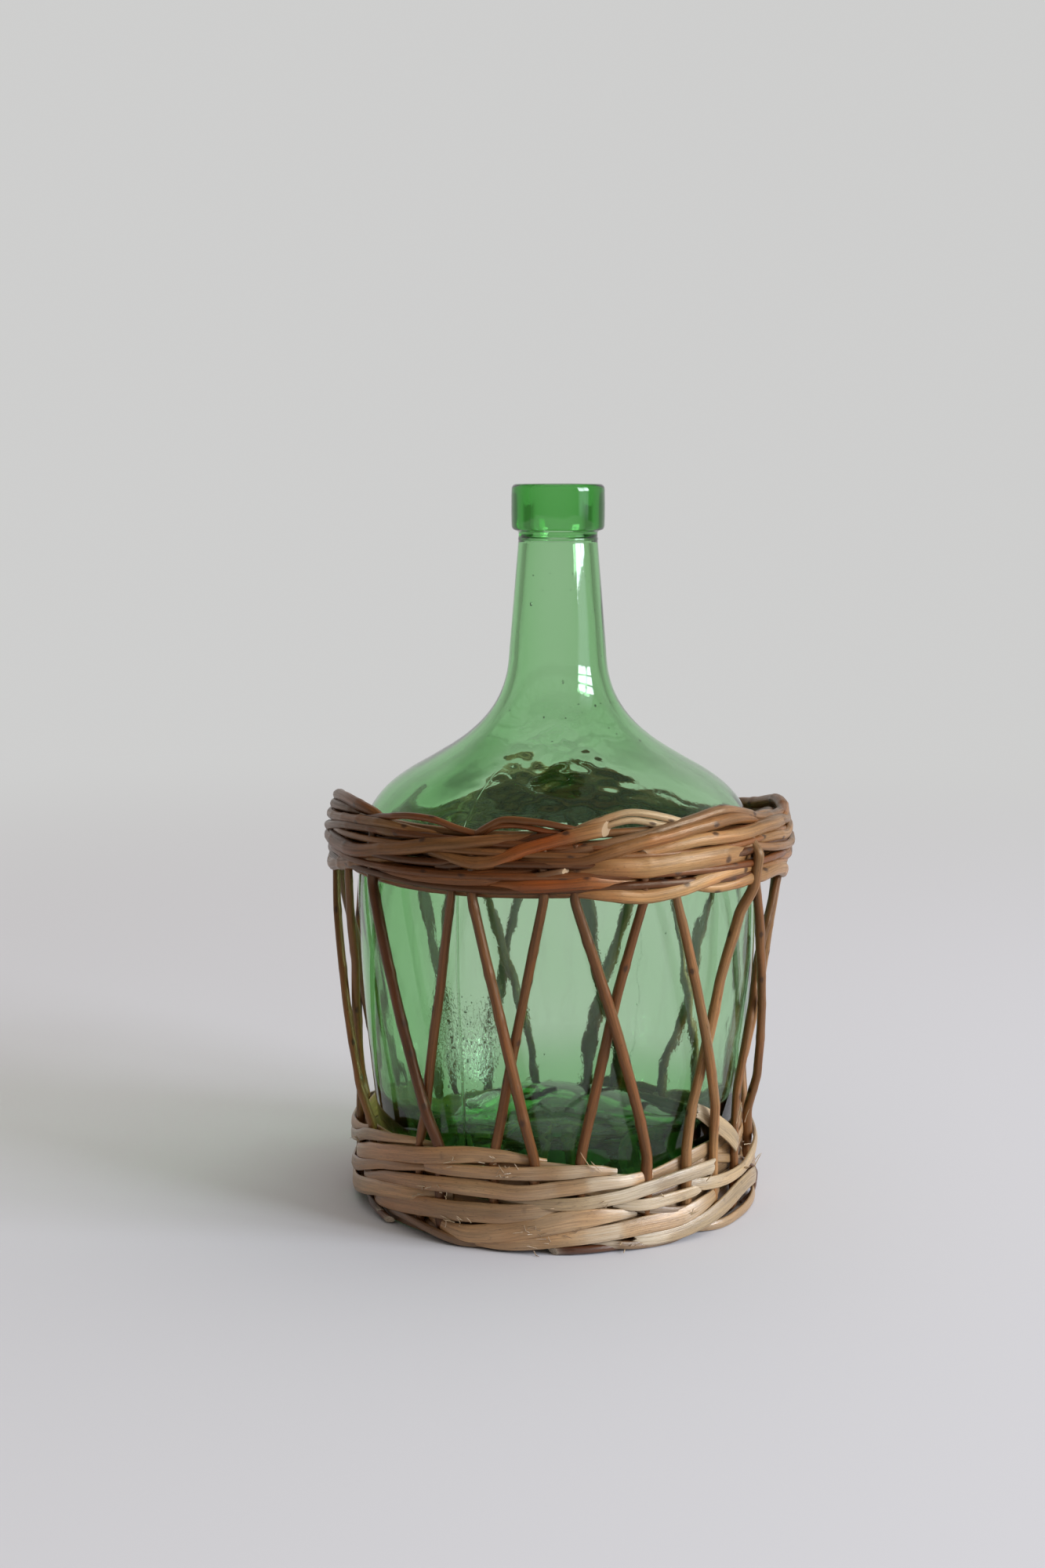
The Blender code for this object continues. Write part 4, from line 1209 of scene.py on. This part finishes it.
def make_glass(material):
    rng = np.random.RandomState(GLASS_SEED)
    profile = eased_profile(model_profile())
    radii, heights = profile.T
    top = int(np.argmax(heights))
    run = unit(np.gradient(profile, axis=0))
    base = np.arange(GLASS_SIDES) * 360.0 / GLASS_SIDES
    extra = [seam + step for seam in SEAMS
             for step in np.linspace(-SEAM_REACH, SEAM_REACH, SEAM_STEPS) * SEAM_HALF_WIDTH]
    degrees = np.unique(np.round(np.concatenate([base, np.mod(extra, 360.0)]), 3))
    shift = glass_shift(radii, heights, np.arange(len(profile)) > top, degrees, rng)

    radius = radii[:, None] + run[:, 1:] * shift
    height = heights[:, None] - run[:, :1] * shift
    rows = around(radius[1:-1], degrees[None, :], height[1:-1]).reshape(-1, 3)
    sides = len(degrees)
    faces = tube_faces(len(profile) - 2, sides)
    last = len(rows) - sides
    for step in range(sides):
        after = (step + 1) % sides
        faces.append((after, step, len(rows)))
        faces.append((last + step, last + after, len(rows) + 1))
    rows = [rows, np.array([(0, 0, heights[0]), (0, 0, heights[-1])])]
    size = len(rows[0]) + 2
    for place in bubble_places(profile[:top], rng):
        points, bubble_faces = bubble(*place)
        rows.append(points)
        faces += [tuple(index + size for index in face) for face in bubble_faces]
        size += len(points)
    bottle = new_object("green_glass_bottle", np.vstack(rows) * MM, faces, material)
    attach(bottle, "bottle")
    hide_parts("glass_bottle")


def in_heights(rows, limits):
    return rows[(rows[:, 1] > limits[0]) & (rows[:, 1] < limits[1])]


def bubble_places(outer, rng):
    """Centre, radius and stretch of each seed bubble, in the middle of the wall."""
    walls = in_heights(outer[outer[:, 0] > BUBBLE_INNERMOST_MM], BUBBLE_HEIGHTS_MM)
    low = in_heights(walls, SEAM_BUBBLE_HEIGHTS_MM)
    places = []
    for angle, height in SPECKS:
        reach = np.interp(height, outer[:, 1], outer[:, 0])
        centre = around(reach - SPECK_DEPTH_MM, angle, height)
        places.append((centre, SPECK_RADIUS_MM, SPECK_STRETCH))
    least, spread, most = BUBBLE_SIZE_MM
    for number in range(BUBBLES + SEAM_BUBBLES):
        if number < BUBBLES:
            spot = walls[rng.randint(len(walls))]
            angle = rng.uniform(0.0, 360.0)
        else:
            spot = low[rng.randint(len(low))]
            angle = SEAMS[0] + rng.normal(0.0, SEAM_BUBBLE_SPREAD)
        size = min(least + rng.exponential(spread), most)
        centre = around(spot[0] - rng.uniform(*BUBBLE_DEPTH_MM), angle, spot[1])
        places.append((centre, size, rng.uniform(*BUBBLE_STRETCH)))
    return places


def bubble(centre, radius, stretch):
    """A small closed hollow, facing inwards, drawn out along the wall's height."""
    rings, sides = BUBBLE_RINGS, BUBBLE_SIDES
    up = np.array((0, 0, radius * stretch))
    points = [centre + up]
    for ring in range(1, rings):
        polar = math.pi * ring / rings
        for step in range(sides):
            turn = math.tau * step / sides
            points.append(centre + radius * np.array((
                math.sin(polar) * math.cos(turn), math.sin(polar) * math.sin(turn),
                stretch * math.cos(polar))))
    points.append(centre - up)
    faces = tube_faces(rings - 1, sides, first=1)
    last = len(points) - 1 - sides
    for step in range(sides):
        after = (step + 1) % sides
        faces.append((0, 1 + after, 1 + step))
        faces.append((last + step, last + after, len(points) - 1))
    return np.array(points), faces


class Shade:
    """Adds shader nodes to a new material, or to the world."""

    def __init__(self, owner):
        self.owner = owner
        owner.use_nodes = True
        self.tree = owner.node_tree
        self.tree.nodes.clear()

    def node(self, kind, inputs=(), **settings):
        item = self.tree.nodes.new(kind)
        for key, value in settings.items():
            setattr(item, key, value)
        for socket, value in inputs:
            if isinstance(value, bpy.types.NodeSocket):
                self.tree.links.new(value, item.inputs[socket])
            else:
                item.inputs[socket].default_value = value
        return item

    def attribute(self, name, output):
        return self.node("ShaderNodeAttribute", attribute_name=name).outputs[output]

    def noise(self, place, scale, detail, roughness=0.5):
        return self.node("ShaderNodeTexNoise", (
            ("Vector", place), ("Scale", scale), ("Detail", detail),
            ("Roughness", roughness))).outputs[0]

    def grain_noise(self, grain, along, across, detail, roughness):
        scaled = self.vector("MULTIPLY", grain, (along, across, across))
        return self.noise(scaled, 1.0, detail, roughness)

    def spread(self, value, low, high, to_low=0.0, to_high=1.0):
        return self.node("ShaderNodeMapRange", (
            ("Value", value), ("From Min", low), ("From Max", high), ("To Min", to_low),
            ("To Max", to_high))).outputs[0]

    def eased(self, value, limits):
        return self.node("ShaderNodeMapRange", (
            ("Value", value), ("From Min", limits[0]), ("From Max", limits[1])),
            interpolation_type="SMOOTHSTEP").outputs[0]

    def maths(self, operation, *values):
        return self.node("ShaderNodeMath", enumerate(values), operation=operation).outputs[0]

    def times(self, first, second):
        return self.maths("MULTIPLY", first, second)

    def vector(self, operation, *values, output=0):
        return self.node("ShaderNodeVectorMath", enumerate(values),
                         operation=operation).outputs[output]

    def scaled_colour(self, colour, factor):
        return self.node("ShaderNodeVectorMath", ((0, colour), ("Scale", factor)),
                         operation="SCALE").outputs[0]

    def blended(self, factor, first, second):
        return self.node("ShaderNodeMix", ((0, factor), (6, first), (7, second)),
                         data_type="RGBA").outputs[2]

    def bump(self, height, strength, distance):
        return self.node("ShaderNodeBump", (
            ("Strength", strength), ("Distance", distance), ("Height", height))).outputs[0]

    def shader(self, kind, *inputs):
        return self.node(kind, inputs).outputs[0]

    def either(self, factor, first, second):
        return self.shader("ShaderNodeMixShader", (0, factor), (1, first), (2, second))


def opaque(colour):
    return (*colour, 1.0)


def willow_material(look):
    """Bark or split wood: fine streaks along the grain, patches, specks, knots, cut ends, and on
    split strips a painted highlight.
    """
    shade = Shade(bpy.data.materials.new(look.name))
    grain = shade.attribute("grain", "Vector")
    tint = shade.attribute("tint", "Color")
    mark = shade.attribute("mark", "Fac")
    cut = shade.attribute("cut", "Fac")
    along, _, detail, roughness = STREAK_NOISE
    streaks = shade.grain_noise(grain, along, look.streaks, detail, roughness)
    broad, patches, specks = (
        shade.grain_noise(grain, *table) for table in (BROAD_NOISE, PATCH_NOISE, SPECK_NOISE))

    light = shade.spread(streaks, 0.28, 0.72, 1.0 - look.contrast, 1.0 + look.contrast)
    light = shade.times(light, shade.spread(broad, 0.3, 0.7, 0.74, 1.26))
    colour = shade.scaled_colour(tint, light)
    redder = shade.vector("MULTIPLY", colour, REDDER)
    colour = shade.blended(shade.spread(patches, 0.50, 0.72, 0.0, look.redness), colour, redder)
    greyer = shade.vector("MULTIPLY", colour, GREYER)
    colour = shade.blended(shade.spread(patches, 0.46, 0.26), colour, greyer)
    dots = shade.times(shade.spread(specks, 0.60, 0.74), 0.75)
    colour = shade.blended(dots, colour, shade.scaled_colour(colour, SPECK_SHADE))
    if look.cracks:
        lines = shade.grain_noise(grain, *CRACK_NOISE)
        near = shade.times(shade.maths("COMPARE", lines, 0.5, CRACK_HALF_WIDTH), look.cracks)
        colour = shade.blended(near, colour, shade.scaled_colour(colour, CRACK_SHADE))
        cut = shade.times(cut, shade.spread(streaks, 0.38, 0.60, 0.25, 1.0))
    # The cut mask gives pale cut ends, and on split strips also the painted highlight
    colour = shade.blended(cut, colour, opaque(look.bared_and_highlight))
    colour = shade.blended(shade.spread(mark, 0.25, 0.8, 0.0, 0.85), colour, opaque(KNOT_COLOUR))

    rough = shade.spread(streaks, 0.3, 0.7, look.roughness + 0.10, look.roughness - 0.06)
    height = shade.maths("ADD", shade.times(streaks, 0.8), shade.times(specks, 0.3))
    bump = shade.bump(height, GRAIN_STRENGTH, GRAIN_DEPTH)
    level, shine = look.shine
    surface = shade.shader(
        "ShaderNodeBsdfPrincipled", ("Base Color", colour), ("Roughness", rough),
        ("Normal", bump), ("Specular IOR Level", level), ("Specular Tint", shine),
        ("Coat Weight", look.coat), ("Coat Roughness", COAT_ROUGHNESS), ("Coat Normal", bump))
    shade.node("ShaderNodeOutputMaterial", (("Surface", surface),))
    return shade.owner


def glass_material():
    """Clear glass that takes light away by its depth, with faint grain in one patch."""
    shade = Shade(bpy.data.materials.new("green_glass_finish"))
    place = shade.node("ShaderNodeTexCoord").outputs["Object"]
    distance = shade.vector("DISTANCE", place, ROUGH_SPOT, output=1)
    near = shade.spread(distance, ROUGH_REACH, ROUGH_REACH * 0.3, ROUGH_ELSEWHERE, 1.0)
    pimples = shade.spread(shade.noise(place, ROUGH_SCALE, 2.0), 0.48, 0.70)
    bump = shade.bump(shade.times(pimples, near), ROUGH_STRENGTH, ROUGH_DEPTH)
    glass = shade.shader(
        "ShaderNodeBsdfPrincipled", ("Base Color", opaque(WHITE)), ("Roughness", 0.0),
        ("IOR", GLASS_IOR), ("Transmission Weight", 1.0), ("Normal", bump))
    clear = shade.shader("ShaderNodeBsdfTransparent", ("Color", opaque(SHADOW_TINT)))
    shadow = shade.node("ShaderNodeLightPath").outputs["Is Shadow Ray"]
    absorb = shade.shader("ShaderNodeVolumeAbsorption", ("Color", opaque(ABSORPTION_COLOUR)),
                          ("Density", ABSORPTION_DENSITY))
    shade.node("ShaderNodeOutputMaterial", (
        ("Surface", shade.either(shadow, glass, clear)), ("Volume", absorb)))
    return shade.owner


def floor_material():
    """Pale cloth near the object, which passes into the backdrop's colour further out."""
    shade = Shade(bpy.data.materials.new("pale_floor"))
    place = shade.node("ShaderNodeNewGeometry").outputs["Position"]
    far = shade.eased(shade.vector("LENGTH", place, output=1), FLOOR_FADE)
    cloth = shade.shader("ShaderNodeBsdfDiffuse", ("Color", opaque(FLOOR_COLOUR)))
    backdrop = shade.shader("ShaderNodeEmission", ("Color", opaque(BACKDROP_COLOUR)))
    shade.node("ShaderNodeOutputMaterial", (("Surface", shade.either(far, cloth, backdrop)),))
    return shade.owner


def make_floor_stage():
    corners = [(x * FLOOR_HALF, y * FLOOR_HALF, 0.0) for x, y in ((-1, -1), (1, -1), (1, 1), (-1, 1))]
    mesh = bpy.data.meshes.new("floor")
    mesh.from_pydata(corners, [], [(0, 1, 2, 3)])
    mesh.materials.append(floor_material())
    floor = bpy.data.objects.new("floor", mesh)
    bpy.context.scene.collection.objects.link(floor)


def make_light():
    """A window of several panes, to the right of the camera."""
    turn = math.radians(WINDOW_ANGLE)
    climb = math.radians(WINDOW_ELEVATION)
    way = Vector((math.sin(turn) * math.cos(climb), -math.cos(turn) * math.cos(climb),
                  math.sin(climb)))
    aim = Vector((0.0, 0.0, CAMERA_HEIGHT / 2))
    facing = way.to_track_quat("Z", "Y")
    across, up = WINDOW_PANES
    for column in range(across):
        for row in range(up):
            lamp = bpy.data.lights.new("pane", "AREA")
            lamp.shape = "RECTANGLE"
            lamp.size = WINDOW_WIDTH / across - WINDOW_BAR
            lamp.size_y = WINDOW_HEIGHT / up - WINDOW_BAR
            lamp.energy = WINDOW_POWER / (across * up)
            lamp.color = WINDOW_COLOUR
            pane = bpy.data.objects.new("pane", lamp)
            bpy.context.scene.collection.objects.link(pane)
            shift = Vector(((column + 0.5) / across * WINDOW_WIDTH - WINDOW_WIDTH / 2,
                            (row + 0.5) / up * WINDOW_HEIGHT - WINDOW_HEIGHT / 2, 0.0))
            shift.rotate(facing)
            pane.location = aim + way * WINDOW_DISTANCE + shift
            pane.rotation_euler = facing.to_euler()


def sky_shader(shade, to_right, to_back, to_top):
    """The light on dull surfaces: more from the right, less from low in front."""
    low = shade.times(shade.eased(to_back, LOW_SKY_BY_BACK), shade.eased(to_top, LOW_SKY_BY_TOP))
    level = shade.maths("MULTIPLY_ADD", low, SKY_LOW_IN_FRONT - 1.0, 1.0)
    slope = shade.maths("MULTIPLY_ADD", to_right, SKY_FROM_RIGHT, 1.0)
    return shade.shader("ShaderNodeBackground", ("Color", opaque(SKY_COLOUR)),
                        ("Strength", shade.times(level, slope)))


def gloss_colour(shade, place, to_back, to_top):
    """What glossy surfaces show: a dark room, the backdrop behind, the wall by the window."""
    turn = math.radians(WINDOW_ANGLE)
    flat = shade.vector("NORMALIZE", shade.vector("MULTIPLY", place, (1.0, 1.0, 0.0)))
    towards = shade.vector("DOT_PRODUCT", flat, (math.sin(turn), -math.cos(turn), 0.0), output=1)
    beside = shade.eased(towards, SHEEN_BY_WINDOW)
    for limits in SHEEN_BY_TOP:
        beside = shade.times(beside, shade.eased(to_top, limits))
    behind = shade.times(shade.eased(to_back, BEHIND_BY_BACK), shade.eased(to_top, BEHIND_BY_TOP))
    colour = shade.blended(behind, opaque(ROOM_COLOUR), opaque(BACKDROP_COLOUR))
    return shade.blended(beside, colour, opaque(WINDOW_SHEEN))


def through_colour(shade, to_right, to_back):
    """What shows through the glass: the backdrop, darker to the sides and in front."""
    colour = shade.blended(shade.eased(to_back, BEHIND_BY_BACK), opaque(ROOM_SEEN_THROUGH),
                           opaque(BACKDROP_COLOUR))
    for limits in SIDES_BY_RIGHT:
        colour = shade.blended(shade.eased(to_right, limits), colour, opaque(ROOM_SIDE_COLOUR))
    return colour


def make_world():
    """Even light, a pale backdrop, and a darker room for what glass and gloss show."""
    bpy.context.scene.world = bpy.data.worlds.new("studio")
    shade = Shade(bpy.context.scene.world)
    path = shade.node("ShaderNodeLightPath").outputs
    place = shade.node("ShaderNodeTexCoord").outputs["Generated"]
    parts = shade.node("ShaderNodeSeparateXYZ", ((0, place),)).outputs
    to_right, to_back, to_top = (parts[axis] for axis in "XYZ")
    shown = sky_shader(shade, to_right, to_back, to_top)
    for ray, colour in (("Is Glossy Ray", gloss_colour(shade, place, to_back, to_top)),
                        ("Is Transmission Ray", through_colour(shade, to_right, to_back))):
        seen = shade.shader("ShaderNodeBackground", ("Color", colour))
        shown = shade.either(path[ray], shown, seen)
    after_diffuse = shade.maths("GREATER_THAN", path["Diffuse Depth"], 0.5)
    lit_through = shade.times(after_diffuse, path["Is Transmission Ray"])
    none = shade.shader("ShaderNodeBackground", ("Strength", 0.0))
    shown = shade.either(lit_through, shown, none)
    backdrop = shade.shader("ShaderNodeBackground", ("Color", opaque(BACKDROP_COLOUR)))
    shown = shade.either(path["Is Camera Ray"], shown, backdrop)
    shade.node("ShaderNodeOutputWorld", (("Surface", shown),))


def make_camera():
    data = bpy.data.cameras.new("camera")
    data.lens = LENS_MM
    data.sensor_width = SENSOR_MM
    camera = bpy.data.objects.new("camera", data)
    bpy.context.scene.collection.objects.link(camera)
    camera.location = (0.0, -CAMERA_DISTANCE, CAMERA_HEIGHT)
    camera.rotation_euler = (math.radians(90.0 - CAMERA_PITCH), 0.0, math.radians(CAMERA_YAW))
    bpy.context.scene.camera = camera


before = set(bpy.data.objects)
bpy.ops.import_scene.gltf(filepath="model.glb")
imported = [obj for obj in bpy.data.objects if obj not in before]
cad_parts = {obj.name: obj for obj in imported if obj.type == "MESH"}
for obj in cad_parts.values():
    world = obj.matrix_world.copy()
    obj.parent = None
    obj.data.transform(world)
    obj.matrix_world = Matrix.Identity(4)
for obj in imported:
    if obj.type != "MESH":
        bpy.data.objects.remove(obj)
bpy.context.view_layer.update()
make_camera()
make_light()
make_world()
make_floor_stage()
bark = willow_material(BARK)
split = willow_material(SPLIT_WOOD)
make_glass(glass_material())
make_stakes(bark)
make_rim(bark)
make_foot(split)
make_floor_sticks(bark)
make_floor_strips(split)
scene = bpy.context.scene
scene.view_settings.view_transform = "Standard"
scene.cycles.max_bounces = MAX_BOUNCES
scene.cycles.transmission_bounces = GLASS_BOUNCES
scene.cycles.transparent_max_bounces = CLEAR_BOUNCES
